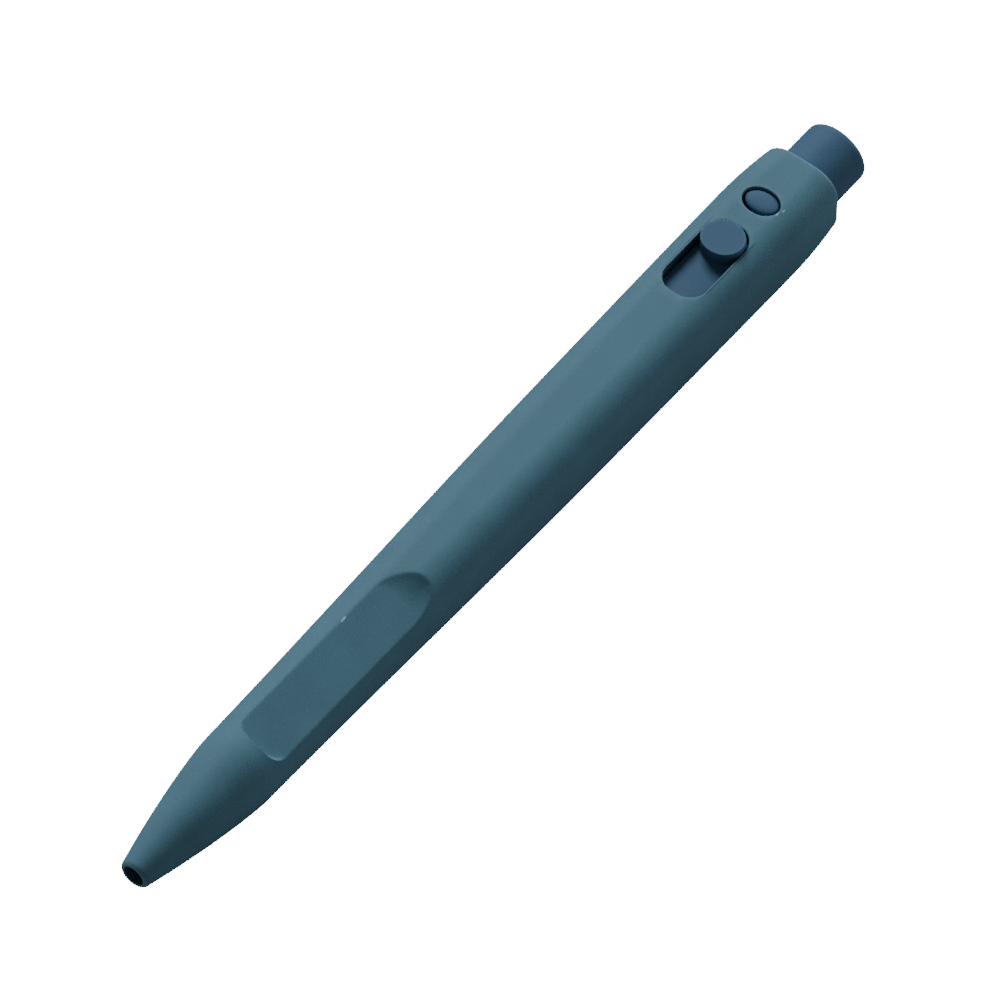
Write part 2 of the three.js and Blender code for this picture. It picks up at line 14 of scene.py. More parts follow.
import bmesh
import bpy
import numpy as np
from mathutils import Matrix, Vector


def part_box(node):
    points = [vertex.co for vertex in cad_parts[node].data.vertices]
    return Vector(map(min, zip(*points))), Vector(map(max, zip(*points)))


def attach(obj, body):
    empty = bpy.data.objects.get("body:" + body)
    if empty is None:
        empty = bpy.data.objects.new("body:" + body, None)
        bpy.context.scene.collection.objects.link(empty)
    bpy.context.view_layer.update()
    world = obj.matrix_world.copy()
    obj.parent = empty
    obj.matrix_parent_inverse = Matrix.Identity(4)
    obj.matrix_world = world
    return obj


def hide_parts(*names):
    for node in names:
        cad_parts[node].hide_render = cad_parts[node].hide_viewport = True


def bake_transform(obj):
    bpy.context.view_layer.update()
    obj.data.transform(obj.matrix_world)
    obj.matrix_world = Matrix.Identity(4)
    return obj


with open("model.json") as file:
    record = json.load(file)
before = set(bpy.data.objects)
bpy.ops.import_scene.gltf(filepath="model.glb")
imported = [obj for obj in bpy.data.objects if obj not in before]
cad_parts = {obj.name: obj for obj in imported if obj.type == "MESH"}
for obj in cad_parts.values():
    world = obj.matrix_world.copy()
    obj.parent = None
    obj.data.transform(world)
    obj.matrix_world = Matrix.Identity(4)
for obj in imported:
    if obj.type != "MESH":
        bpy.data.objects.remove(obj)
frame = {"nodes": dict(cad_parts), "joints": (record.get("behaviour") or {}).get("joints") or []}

LOG = logging.getLogger("pen")
MM = 0.001
DIGITS = 3
PEN_LENGTH = round(2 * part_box("plunger")[1].x / MM, DIGITS)
AXIS_HEIGHT = round(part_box("barrel")[1].z / 2 / MM, DIGITS)
SHARP_ANGLE = math.radians(38)
MERGE_GAP = 1e-7
SLIVER_GAP = 1e-6
POLE_RADIUS = 1e-6
TINY = 1e-6
FAR_OUT = 60.0
MOST_OF_A_SIDE = 0.42
SHADING_LEAD = 1.18

Colour = tuple[float, float, float, float]
Place = tuple[float, float, float]
# (u, radius, rounding) of a turned profile's corner
Corner = tuple[float, float, float]
# (share of the outline, inset from it, height) of a stud's profile
Level = tuple[float, float, float]


class Body(Enum):
    """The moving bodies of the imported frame."""

    BARREL = "barrel"
    PLUNGER = "plunger"
    TONGUE = "tongue"
    BALL = "ball"


class Carving(Enum):
    """How one solid changes another."""

    CUT = "DIFFERENCE"
    JOIN = "UNION"


# Places and meshes


def row_place(points: np.ndarray) -> np.ndarray:
    """Turns pen places into the row frame.

    Args:
        points: (u, y, z) rows in millimetres.

    Returns:
        The same places in metres, with the floor at zero.
    """
    moved = np.asarray(points, float).copy()
    moved[:, 0] -= PEN_LENGTH / 2
    moved[:, 2] += AXIS_HEIGHT
    return moved * MM


def pen_place(points: np.ndarray) -> np.ndarray:
    """Turns row frame places back into pen places.

    Args:
        points: Rows of places in metres.

    Returns:
        (u, y, z) rows in millimetres.
    """
    moved = np.asarray(points, float) / MM
    moved[:, 0] += PEN_LENGTH / 2
    moved[:, 2] -= AXIS_HEIGHT
    return moved


def row_point(u: float, y: float, z: float) -> Place:
    """One pen place in the row frame, in metres."""
    return tuple(row_place(np.array([[u, y, z]]))[0])


def pen_box(node: str) -> tuple[Place, Place]:
    """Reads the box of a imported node.

    Args:
        node: The node's name.

    Returns:
        Its lowest and highest (u, y, z), to a thousandth of a millimetre.
    """
    corners = pen_place(np.array([corner[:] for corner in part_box(node)]))
    low, high = (tuple(round(float(number), DIGITS) for number in corner) for corner in corners)
    return low, high


def slide_length(name: str) -> float:
    """Reads how far a packed slide joint goes, in millimetres."""
    joint = next(joint for joint in frame["joints"] if joint["name"] == name)
    return round(joint["range_m"][1] / MM, DIGITS)


def vertex_places(mesh: bpy.types.Mesh) -> np.ndarray:
    """Reads the points of a mesh.

    Args:
        mesh: The mesh.

    Returns:
        Its points as an array of three columns.
    """
    flat = np.empty(len(mesh.vertices) * 3)
    mesh.vertices.foreach_get("co", flat)
    return flat.reshape(-1, 3)


def shade(mesh: bpy.types.Mesh, angle: float = SHARP_ANGLE) -> None:
    """Shades a mesh smooth and keeps its edges sharp past an angle in radians."""
    mesh.shade_smooth()
    mesh.set_sharp_from_angle(angle=angle)


def tidy(mesh: bpy.types.Mesh) -> None:
    """Merges doubles and turns every face outwards.

    Args:
        mesh: The mesh to tidy.
    """
    work = bmesh.new()
    work.from_mesh(mesh)
    bmesh.ops.remove_doubles(work, verts=work.verts, dist=MERGE_GAP)
    bmesh.ops.recalc_face_normals(work, faces=work.faces)
    work.to_mesh(mesh)
    work.free()


def drop_slivers(mesh: bpy.types.Mesh) -> None:
    """Takes out the faces without area that a cut leaves.

    Args:
        mesh: The mesh to clean.
    """
    work = bmesh.new()
    work.from_mesh(mesh)
    bmesh.ops.remove_doubles(work, verts=work.verts, dist=SLIVER_GAP)
    bmesh.ops.dissolve_degenerate(work, edges=work.edges, dist=SLIVER_GAP)
    bmesh.ops.triangulate(work, faces=[face for face in work.faces if len(face.verts) > 4])
    bmesh.ops.dissolve_degenerate(work, edges=work.edges, dist=SLIVER_GAP)
    work.to_mesh(mesh)
    work.free()


def new_piece(name: str, points: np.ndarray, faces: Sequence[Sequence[int]]) -> bpy.types.Object:
    """Makes an object of pen places.

    Args:
        name: The piece's name.
        points: (u, y, z) rows in millimetres.
        faces: Point numbers of each face.

    Returns:
        The object, at the origin, with its place in its mesh.
    """
    mesh = bpy.data.meshes.new(name)
    mesh.from_pydata(row_place(points).tolist(), [], [list(face) for face in faces])
    tidy(mesh)
    shade(mesh)
    piece = bpy.data.objects.new(name, mesh)
    bpy.context.scene.collection.objects.link(piece)
    return piece


def ring_faces(count: int, around: int, joined: bool) -> list[list[int]]:
    """Faces between rings of equal length.

    Args:
        count: The number of rings.
        around: The number of points in a ring.
        joined: Whether the last ring meets the first.

    Returns:
        The four-sided faces.
    """
    faces = []
    for ring in range(count if joined else count - 1):
        after = (ring + 1) % count
        for i in range(around):
            j = (i + 1) % around
            a, b = ring * around, after * around
            faces.append([a + i, a + j, b + j, b + i])
    return faces


def lofted(name: str, rings: Sequence[np.ndarray], joined: bool = False) -> bpy.types.Object:
    """Makes a solid through rings of points.

    Args:
        name: The piece's name.
        rings: Rings of (u, y, z) points, all of one length.
        joined: Whether the last ring meets the first, as on a tube with a bore.

    Returns:
        The object, with flat ends where the rings don't meet.
    """
    around = len(rings[0])
    faces = ring_faces(len(rings), around, joined)
    if not joined:
        last = (len(rings) - 1) * around
        faces.append(list(range(around))[::-1])
        faces.append([last + i for i in range(around)])
    return new_piece(name, np.concatenate(rings), faces)


def softened(corners: Sequence[Corner], steps: int = 5) -> list[tuple[float, float]]:
    """Rounds the corners of a profile.

    Args:
        corners: (u, radius, rounding) of each corner, in millimetres.
        steps: The number of steps in a rounding.

    Returns:
        (u, radius) points, with one more point beside each rounding that keeps the shading true.
    """
    places = [np.array(corner[:2], float) for corner in corners]
    points: list[tuple[float, float]] = []
    for i, (place, corner) in enumerate(zip(places, corners)):
        if corner[2] <= 0 or i in (0, len(corners) - 1):
            points.append((place[0], place[1]))
            continue
        before, after = places[i - 1] - place, places[i + 1] - place
        a, b = np.linalg.norm(before), np.linalg.norm(after)
        turn = math.acos(max(-1.0, min(1.0, float(before @ after) / (a * b))))
        reach = min(corner[2] / math.tan(turn / 2), MOST_OF_A_SIDE * a, MOST_OF_A_SIDE * b)
        start, end = place + before / a * reach, place + after / b * reach
        points.append(tuple(place + before / a * reach * SHADING_LEAD))
        for step in range(steps + 1):
            t = step / steps
            points.append(tuple((1 - t) ** 2 * start + 2 * t * (1 - t) * place + t * t * end))
        points.append(tuple(place + after / b * reach * SHADING_LEAD))
    return [(float(u), float(r)) for u, r in points]


def turned(
    name: str, profile: Sequence[tuple[float, float]], segments: int, joined: bool = False
) -> bpy.types.Object:
    """Turns a profile about the pen's axis.

    Args:
        name: The piece's name.
        profile: (u, radius) points from pole to pole, or once round where joined.
        segments: The number of points round the axis.
        joined: Whether the profile closes on itself, as on a tube.

    Returns:
        The turned object.
    """
    angles = np.arange(segments) * 2 * math.pi / segments
    points, rings = [], []
    for u, radius in profile:
        first = len(points)
        if radius < POLE_RADIUS:
            points.append((u, 0.0, 0.0))
            rings.append([first])
            continue
        points += [(u, radius * math.cos(a), radius * math.sin(a)) for a in angles]
        rings.append(list(range(first, first + segments)))
    faces = []
    pairs = list(zip(rings, rings[1:])) + ([(rings[-1], rings[0])] if joined else [])
    for a, b in pairs:
        for i in range(segments):
            j = (i + 1) % segments
            if len(a) == 1 and len(b) == 1:
                continue
            if len(a) == 1:
                faces.append([a[0], b[j], b[i]])
            elif len(b) == 1:
                faces.append([a[i], a[j], b[0]])
            else:
                faces.append([a[i], a[j], b[j], b[i]])
    return new_piece(name, np.array(points), faces)


def carve(target: bpy.types.Object, tool: bpy.types.Object, how: Carving) -> None:
    """Cuts one solid by another or joins it on, and removes the tool.

    Args:
        target: The solid that stays.
        tool: The solid that is used up.
        how: Whether the tool is cut out or joined on.
    """
    change = target.modifiers.new("carving", "BOOLEAN")
    change.operation, change.solver, change.object = how.value, "EXACT", tool
    graph = bpy.context.evaluated_depsgraph_get()
    mesh = bpy.data.meshes.new_from_object(target.evaluated_get(graph))
    drop_slivers(mesh)
    target.modifiers.clear()
    target.data = mesh
    bpy.data.objects.remove(tool)


def block(name: str, low: Place, high: Place) -> bpy.types.Object:
    """Makes a plain block, used as a cutting tool.

    Args:
        name: The block's name.
        low: Its lowest (u, y, z) in millimetres.
        high: Its highest (u, y, z) in millimetres.

    Returns:
        The block.
    """
    (u0, y0, z0), (u1, y1, z1) = low, high
    section = [(y0, z0), (y1, z0), (y1, z1), (y0, z1)]
    rings = [np.array([(u, y, z) for y, z in section]) for u in (u0, u1)]
    return lofted(name, rings)


def set_number(mesh: bpy.types.Mesh, name: str, values: np.ndarray) -> None:
    """Keeps one number for each point of a mesh, for a material to read."""
    layer = mesh.attributes.new(name, "FLOAT", "POINT")
    layer.data.foreach_set("value", np.asarray(values, np.float32))


# Finishes


def linear(red: int, green: int, blue: int) -> Colour:
    """Turns a screen colour into linear light.

    Args:
        red: Its red, from 0 to 255.
        green: Its green.
        blue: Its blue.

    Returns:
        The linear colour, with full cover.
    """

    def channel(value: int) -> float:
        """One channel of the colour as linear light."""
        share = value / 255
        return share / 12.92 if share <= 0.04045 else ((share + 0.055) / 1.055) ** 2.4

    return channel(red), channel(green), channel(blue), 1.0


@dataclass
class NodeBench:
    """A node tree being wired, with short ways to add and join nodes."""

    tree: bpy.types.NodeTree

    def add(self, kind: str, **settings: object) -> bpy.types.Node:
        """Adds a node.

        Args:
            kind: The node's Blender type.
            settings: Properties to set on the node.

        Returns:
            The new node.
        """
        node = self.tree.nodes.new(kind)
        for name, value in settings.items():
            setattr(node, name, value)
        return node

    def join(self, source: bpy.types.NodeSocket, target: bpy.types.NodeSocket) -> None:
        """Joins an output to an input."""
        self.tree.links.new(source, target)

    def feed(self, socket: bpy.types.NodeSocket, value: object) -> None:
        """Joins or sets an input.

        Args:
            socket: The input.
            value: An output to join to it, or the value to set on it.
        """
        if isinstance(value, bpy.types.NodeSocket):
            self.join(value, socket)
        else:
            socket.default_value = value

    def calculate(self, operation: str, *values: object, clamp: bool = False) -> bpy.types.NodeSocket:
        """Adds a Math node.

        Args:
            operation: The Math node's operation.
            values: Numbers or sockets for its inputs, in order.
            clamp: Whether the result is kept between 0 and 1.

        Returns:
            The node's output.
        """
        node = self.add("ShaderNodeMath", operation=operation, use_clamp=clamp)
        for socket, value in zip(node.inputs, values):
            self.feed(socket, value)
        return node.outputs[0]

    def combine(self, *values: object) -> bpy.types.NodeSocket:
        """Adds a Combine XYZ node.

        Args:
            values: Numbers or sockets for x, y and z.

        Returns:
            The vector.
        """
        node = self.add("ShaderNodeCombineXYZ")
        for socket, value in zip(node.inputs, values):
            self.feed(socket, value)
        return node.outputs[0]

    def measure(self, operation: str, *values: object) -> bpy.types.Node:
        """Adds a Vector Math node.

        Args:
            operation: The node's operation.
            values: Vectors or sockets for its inputs, in order.

        Returns:
            The node, whose first output is a vector and whose second is a number.
        """
        node = self.add("ShaderNodeVectorMath", operation=operation)
        for socket, value in zip(node.inputs, values):
            self.feed(socket, value)
        return node

    def emboss(
        self, shader: bpy.types.Node, height: bpy.types.NodeSocket, strength: float, relief: float
    ) -> None:
        """Gives a shader a bump.

        Args:
            shader: The Principled BSDF.
            height: The height that the bump follows.
            strength: The bump's strength.
            relief: The height of its relief in metres.
        """
        bump = self.add("ShaderNodeBump")
        bump.inputs["Strength"].default_value = strength
        bump.inputs["Distance"].default_value = relief
        self.join(height, bump.inputs["Height"])
        self.join(bump.outputs[0], shader.inputs["Normal"])

    def noise(
        self, place: bpy.types.NodeSocket, scale: object, detail: float, rough: float = 0.5
    ) -> bpy.types.NodeSocket:
        """Adds a Noise Texture.

        Args:
            place: The coordinates that it reads.
            scale: Its scale, a number or a socket.
            detail: Its number of octaves.
            rough: Its roughness.

        Returns:
            The noise's value.
        """
        node = self.add("ShaderNodeTexNoise")
        self.join(place, node.inputs["Vector"])
        self.feed(node.inputs["Scale"], scale)
        node.inputs["Detail"].default_value = detail
        node.inputs["Roughness"].default_value = rough
        return node.outputs[0]

    def span(
        self, value: bpy.types.NodeSocket, low: object, high: object, to_low: object, to_high: object
    ) -> bpy.types.NodeSocket:
        """Adds a smooth Map Range.

        Args:
            value: The value to map.
            low: Where the range starts.
            high: Where the range ends.
            to_low: The result at its start.
            to_high: The result at its end.

        Returns:
            The mapped value.
        """
        node = self.add("ShaderNodeMapRange", interpolation_type="SMOOTHSTEP")
        self.join(value, node.inputs["Value"])
        ends = {"From Min": low, "From Max": high, "To Min": to_low, "To Max": to_high}
        for name, end in ends.items():
            self.feed(node.inputs[name], end)
        return node.outputs[0]

    def mix(
        self, share: object, first: object, second: object, blend: str = "MIX"
    ) -> bpy.types.NodeSocket:
        """Adds a colour Mix node.

        Args:
            share: How much of the second colour shows.
            first: The first colour or socket.
            second: The second colour or socket.
            blend: The kind of mixing.

        Returns:
            The mixed colour.
        """
        node = self.add("ShaderNodeMix", data_type="RGBA", blend_type=blend)
        for number, value in ((0, share), (6, first), (7, second)):
            self.feed(node.inputs[number], value)
        return node.outputs[2]


def node_group(
    name: str, inputs: Sequence[tuple[str, str, float]], outputs: Sequence[str]
) -> tuple[NodeBench, bpy.types.Node, bpy.types.Node]:
    """Starts a shader node group.

    Args:
        name: The group's name.
        inputs: (name, kind, start value) of each input, the kind VECTOR or FLOAT.
        outputs: The names of the number outputs.

    Returns:
        The bench, the group's input node and its output node.
    """
    tree = bpy.data.node_groups.new(name, "ShaderNodeTree")
    for label, kind, value in inputs:
        kind_name = f"NodeSocket{kind.title()}"
        socket = tree.interface.new_socket(label, in_out="INPUT", socket_type=kind_name)
        if kind == "FLOAT":
            socket.default_value = value
    for label in outputs:
        tree.interface.new_socket(label, in_out="OUTPUT", socket_type="NodeSocketFloat")
    bench = NodeBench(tree)
    return bench, bench.add("NodeGroupInput"), bench.add("NodeGroupOutput")


def moulded_grain() -> bpy.types.NodeTree:
    """The grain of a spark-eroded mould and the slow drift of a filled plastic's tone.

    Returns:
        A group with the outputs Height and Tone.
    """
    inputs = [("Vector", "VECTOR", 0.0), ("Grain Scale", "FLOAT", 5200.0), ("Drift Scale", "FLOAT", 170.0)]
    bench, start, end = node_group("moulded_grain", inputs, ["Height", "Tone"])
    main_share, side_share, wide_ratio = 0.7, 0.3, 0.23
    fine = bench.noise(start.outputs["Vector"], start.outputs["Grain Scale"], 3.0, 0.6)
    wide_scale = bench.calculate("MULTIPLY", start.outputs["Grain Scale"], wide_ratio)
    wide = bench.noise(start.outputs["Vector"], wide_scale, 2.0)
    coarse = bench.calculate("MULTIPLY", wide, side_share)
    height = bench.calculate("MULTIPLY_ADD", fine, main_share, coarse)
    bench.join(height, end.inputs["Height"])
    drift = bench.noise(start.outputs["Vector"], start.outputs["Drift Scale"], 4.0, 0.55)
    fleck = bench.calculate("MULTIPLY", fine, side_share)
    tone = bench.calculate("ADD", bench.calculate("MULTIPLY", drift, main_share), fleck)
    bench.join(tone, end.inputs["Tone"])
    return bench.tree


def edge_wear() -> bpy.types.NodeTree:
    """Chips and rubbed places along the edges that a piece marks.

    Returns:
        A group with the output Mask.
    """
    inputs = [
        ("Vector", "VECTOR", 0.0), ("Edge", "FLOAT", 0.0),
        ("Chip Scale", "FLOAT", 2400.0), ("Amount", "FLOAT", 0.5),
    ]
    bench, start, end = node_group("edge_wear", inputs, ["Mask"])
    chips = bench.noise(start.outputs["Vector"], start.outputs["Chip Scale"], 3.0, 0.65)
    highest, reach, softness = 0.78, 0.4, 0.12
    lowered = bench.calculate("MULTIPLY", start.outputs["Amount"], reach)
    least = bench.calculate("SUBTRACT", highest, lowered)
    most = bench.calculate("ADD", least, softness)
    rubbed = bench.span(chips, least, most, 0.0, 1.0)
    bench.join(bench.calculate("MULTIPLY", rubbed, start.outputs["Edge"], clamp=True), end.inputs["Mask"])
    return bench.tree


def fine_scratches() -> bpy.types.NodeTree:
    """Sparse hairline scratches from use.

    Returns:
        A group with the output Mask.
    """
    inputs = [("Vector", "VECTOR", 0.0), ("Scale", "FLOAT", 420.0), ("Share", "FLOAT", 0.35)]
    bench, start, end = node_group("fine_scratches", inputs, ["Mask"])
    sway_scale, sway, line_width, patch_scale = 90.0, (0.004, 0.004, 0.004), 0.012, 260.0
    bent = bench.add("ShaderNodeTexNoise")
    bench.join(start.outputs["Vector"], bent.inputs["Vector"])
    bent.inputs["Scale"].default_value = sway_scale
    shift = bench.measure("MULTIPLY_ADD", bent.outputs["Color"], sway, start.outputs["Vector"])
    cells = bench.add("ShaderNodeTexVoronoi", feature="DISTANCE_TO_EDGE")
    bench.join(shift.outputs[0], cells.inputs["Vector"])
    bench.join(start.outputs["Scale"], cells.inputs["Scale"])
    line = bench.span(cells.outputs["Distance"], 0.0, line_width, 1.0, 0.0)
    patches = bench.noise(start.outputs["Vector"], patch_scale, 2.0)
    least = bench.calculate("SUBTRACT", 0.8, bench.calculate("MULTIPLY", start.outputs["Share"], 0.5))
    where = bench.span(patches, least, 0.85, 0.0, 1.0)
    bench.join(bench.calculate("MULTIPLY", line, where, clamp=True), end.inputs["Mask"])
    return bench.tree


def lathe_lines() -> bpy.types.NodeTree:
    """The fine rings that turning or drawing leaves round a piece's axis.

    Returns:
        A group with the outputs Height and Tone.
    """
    inputs = [("Vector", "VECTOR", 0.0), ("Ring Scale", "FLOAT", 9000.0), ("Along", "FLOAT", 1.0)]
    bench, start, end = node_group("lathe_lines", inputs, ["Height", "Tone"])
    parts = bench.add("ShaderNodeSeparateXYZ")
    bench.join(start.outputs["Vector"], parts.inputs[0])
    round_share, tone_scale = 0.02, 600.0
    along = bench.calculate("MULTIPLY", parts.outputs[0], start.outputs["Along"])
    squeezed = [bench.calculate("MULTIPLY", parts.outputs[i], round_share) for i in (1, 2)]
    rings = bench.noise(bench.combine(along, *squeezed), start.outputs["Ring Scale"], 4.0, 0.7)
    bench.join(rings, end.inputs["Height"])
    bench.join(bench.noise(start.outputs["Vector"], tone_scale, 3.0), end.inputs["Tone"])
    return bench.tree


def small_nick() -> bpy.types.NodeTree:
    """One ragged nick at a place, longer along the pen than across it.

    Returns:
        A group with the output Mask.
    """
    inputs = [
        ("Vector", "VECTOR", 0.0), ("Place", "VECTOR", 0.0),
        ("Length", "FLOAT", 0.0006), ("Slimness", "FLOAT", 3.5),
    ]
    bench, start, end = node_group("small_nick", inputs, ["Mask"])
    away = bench.measure("SUBTRACT", start.outputs["Vector"], start.outputs["Place"])
    parts = bench.add("ShaderNodeSeparateXYZ")
    bench.join(away.outputs[0], parts.inputs[0])
    slimness = start.outputs["Slimness"]
    across = [bench.calculate("MULTIPLY", parts.outputs[i], slimness) for i in (1, 2)]
    length = bench.measure("LENGTH", bench.combine(parts.outputs[0], *across))
    share = bench.calculate("DIVIDE", length.outputs["Value"], start.outputs["Length"])
    ragged_scale, raggedness = 5200.0, 0.9
    ragged = bench.noise(start.outputs["Vector"], ragged_scale, 2.0)
    edge = bench.calculate("MULTIPLY_ADD", ragged, raggedness, share)
    bench.join(bench.span(edge, 1.05, 1.4, 1.0, 0.0), end.inputs["Mask"])
    return bench.tree


@dataclass(frozen=True)
class GroupShelf:
    """The shared node groups, each built once."""

    grain: bpy.types.NodeTree = field(default_factory=moulded_grain)
    wear: bpy.types.NodeTree = field(default_factory=edge_wear)
    scratches: bpy.types.NodeTree = field(default_factory=fine_scratches)
    nick: bpy.types.NodeTree = field(default_factory=small_nick)
    rings: bpy.types.NodeTree = field(default_factory=lathe_lines)

    def place(
        self, bench: NodeBench, tree: bpy.types.NodeTree, place: bpy.types.NodeSocket, **values: object
    ) -> bpy.types.Node:
        """Places a group in a material.

        Args:
            bench: The material's bench.
            tree: The group.
            place: The coordinates that it reads.
            values: Values or sockets of its other inputs, with underscores for spaces.

        Returns:
            The group node.
        """
        node = bench.add("ShaderNodeGroup", node_tree=tree)
        bench.join(place, node.inputs["Vector"])
        for name, value in values.items():
            bench.feed(node.inputs[name.replace("_", " ")], value)
        return node


def material_bench(name: str) -> tuple[bpy.types.Material, NodeBench, bpy.types.Node, bpy.types.NodeSocket]:
    """Starts a material.

    Args:
        name: The material's name.

    Returns:
        The material, its bench, its Principled BSDF and the Object coordinates.
    """
    material = bpy.data.materials.new(name)
    material.use_nodes = True
    material.node_tree.nodes.clear()
    bench = NodeBench(material.node_tree)
    shader = bench.add("ShaderNodeBsdfPrincipled")
    output = bench.add("ShaderNodeOutputMaterial")
    bench.join(shader.outputs[0], output.inputs["Surface"])
    place = bench.add("ShaderNodeTexCoord").outputs["Object"]
    return material, bench, shader, place


@dataclass(frozen=True)
class Nick:
    """One small nick: its place in the row frame and half its length, in metres."""

    place: Place
    length: float


@dataclass(frozen=True)
class MouldedPlastic:
    """A dull, filled, injection moulded plastic.

    Attributes:
        name: The material's name.
        colour: The plastic's own colour as a linear colour.
        worn: The colour of a chipped or rubbed edge.
        roughness: The middle of its roughness.
        specular: The strength of its reflection.
        drift: How far its tone drifts over the piece.
        grain: The height of the mould's grain in metres.
        bump: The strength of the grain's bump.
        chipping: How much of a marked edge is chipped.
        rubbing: How far a marked edge is rubbed all along.
        wear_tone: How far chips and rubbed edges take the worn colour.
        wear_depth: How deep they go, as a share of the grain's height.
        scratch_tone: How far scratches take the worn colour.
        scratch_depth: How deep they go.
        scratch_gloss: How much smoother they are.
        rough_spread: How far the roughness goes to either side of the middle.
        painted_shade_strength: How far painted shade darkens the plastic.
        painted_shade: The near-black colour of painted shade.
        bare: The colour of a fresh nick.
        nicks: The single nicks.
    """

    name: str
    colour: Colour
    worn: Colour
    roughness: float = 0.64
    specular: float = 0.14
    drift: float = 0.12
    grain: float = 1.2e-5
    bump: float = 0.5
    chipping: float = 0.55
    rubbing: float = 0.35
    wear_tone: float = 0.7
    wear_depth: float = 0.8
    scratch_tone: float = 0.16
    scratch_depth: float = 0.5
    scratch_gloss: float = 0.08
    rough_spread: float = 0.05
    painted_shade_strength: float = 0.6
    painted_shade: Colour = (0.004, 0.006, 0.008, 1)
    bare: Colour = (0.3, 0.52, 0.6, 1)
    nicks: tuple[Nick, ...] = ()

    def build(self, shelf: GroupShelf) -> bpy.types.Material:
        """Builds the material from the shared groups.

        Args:
            shelf: The shared groups.

        Returns:
            The material.
        """
        material, bench, shader, place = material_bench(self.name)
        grain = shelf.place(bench, shelf.grain, place)
        edge = bench.add("ShaderNodeAttribute", attribute_name="rim").outputs["Fac"]
        chips = shelf.place(bench, shelf.wear, place, Edge=edge, Amount=self.chipping).outputs["Mask"]
        wear = bench.calculate("MAXIMUM", chips, bench.calculate("MULTIPLY", edge, self.rubbing))
        marks = shelf.place(bench, shelf.scratches, place).outputs["Mask"]
        tone = grain.outputs["Tone"]
        light = bench.span(tone, 0.3, 0.7, 1 - self.drift / 2, 1 + self.drift / 2)
        tinted = bench.mix(1.0, self.colour, light, "MULTIPLY")
        scored = bench.mix(bench.calculate("MULTIPLY", marks, self.scratch_tone), tinted, self.worn)
        rubbed = bench.mix(bench.calculate("MULTIPLY", wear, self.wear_tone), scored, self.worn)
        # Painted shade: mixes the plastic towards near-black where the barrel marks shade in its bore and
        # on its slot walls.
        painted_shade_mask = bench.add("ShaderNodeAttribute", attribute_name="painted_shade").outputs["Fac"]
        dark = bench.mix(bench.calculate("MULTIPLY", painted_shade_mask, self.painted_shade_strength), rubbed, self.painted_shade)
        bench.join(self.nicked(shelf, bench, place, dark), shader.inputs["Base Color"])
        low, high = self.roughness - self.rough_spread, self.roughness + self.rough_spread
        rough = bench.span(tone, 0.25, 0.75, low, high)
        rough = bench.calculate("MULTIPLY_ADD", marks, -self.scratch_gloss, rough)
        bench.join(rough, shader.inputs["Roughness"])
        shader.inputs["Specular IOR Level"].default_value = self.specular
        scored_depth = bench.calculate("MULTIPLY", marks, self.scratch_depth)
        cut = bench.calculate("MULTIPLY_ADD", wear, self.wear_depth, scored_depth)
        height = bench.calculate("SUBTRACT", grain.outputs["Height"], cut)
        bench.emboss(shader, height, self.bump, self.grain)
        return material

    def nicked(
        self, shelf: GroupShelf, bench: NodeBench, place: bpy.types.NodeSocket, colour: bpy.types.NodeSocket
    ) -> bpy.types.NodeSocket:
        """Lays the single nicks over a colour.

        Args:
            shelf: The shared groups.
            bench: The material's bench.
            place: The Object coordinates.
            colour: The colour without nicks.

        Returns:
            The colour with the nicks.
        """
        for nick in self.nicks:
            node = shelf.place(bench, shelf.nick, place, Place=nick.place, Length=nick.length)
            colour = bench.mix(node.outputs["Mask"], colour, self.bare)
        return colour


@dataclass(frozen=True)
class TurnedMetal:
    """A turned, drawn or wound metal.

    Attributes:
        name: The material's name.
        colour: Its colour as a linear colour.
        dull: The colour of its handled or oxidised places.
        roughness: The middle of its roughness.
        ring_scale: How fine its rings are.
        spread: How far its roughness goes to either side of the middle.
        bump: The strength of its rings' bump.
        relief: The height of its rings in metres.
    """

    name: str
    colour: Colour
    dull: Colour
    roughness: float = 0.3
    ring_scale: float = 9000.0
    spread: float = 0.08
    bump: float = 0.4
    relief: float = 4e-6

    def build(self, shelf: GroupShelf) -> bpy.types.Material:
        """Builds the material from the shared groups.

        Args:
            shelf: The shared groups.

        Returns:
            The material.
        """
        material, bench, shader, place = material_bench(self.name)
        rings = shelf.place(bench, shelf.rings, place, Ring_Scale=self.ring_scale)
        tone = bench.span(rings.outputs["Tone"], 0.35, 0.7, 0.0, 0.6)
        bench.join(bench.mix(tone, self.colour, self.dull), shader.inputs["Base Color"])
        shader.inputs["Metallic"].default_value = 1.0
        low, high = self.roughness - self.spread, self.roughness + self.spread
        rough = bench.span(rings.outputs["Height"], 0.3, 0.7, low, high)
        bench.join(rough, shader.inputs["Roughness"])
        bench.emboss(shader, rings.outputs["Height"], self.bump, self.relief)
        return material


@dataclass(frozen=True)
class PasteInk:
    """The thick dark ink in the refill."""

    name: str = "ink_paste"
    colour: Colour = (0.004, 0.006, 0.03, 1.0)
    streak: Colour = (0.02, 0.03, 0.1, 1.0)
    roughness: float = 0.22

    def build(self, shelf: GroupShelf) -> bpy.types.Material:
        """Builds the material, slightly streaked and glossy.

        Args:
            shelf: The shared groups.

        Returns:
            The material.
        """
        material, bench, shader, place = material_bench(self.name)
        streaks = shelf.place(bench, shelf.rings, place, Ring_Scale=1500.0, Along=0.2)
        tone = bench.span(streaks.outputs["Height"], 0.3, 0.7, 0.0, 0.5)
        bench.join(bench.mix(tone, self.colour, self.streak), shader.inputs["Base Color"])
        shader.inputs["Roughness"].default_value = self.roughness
        return material


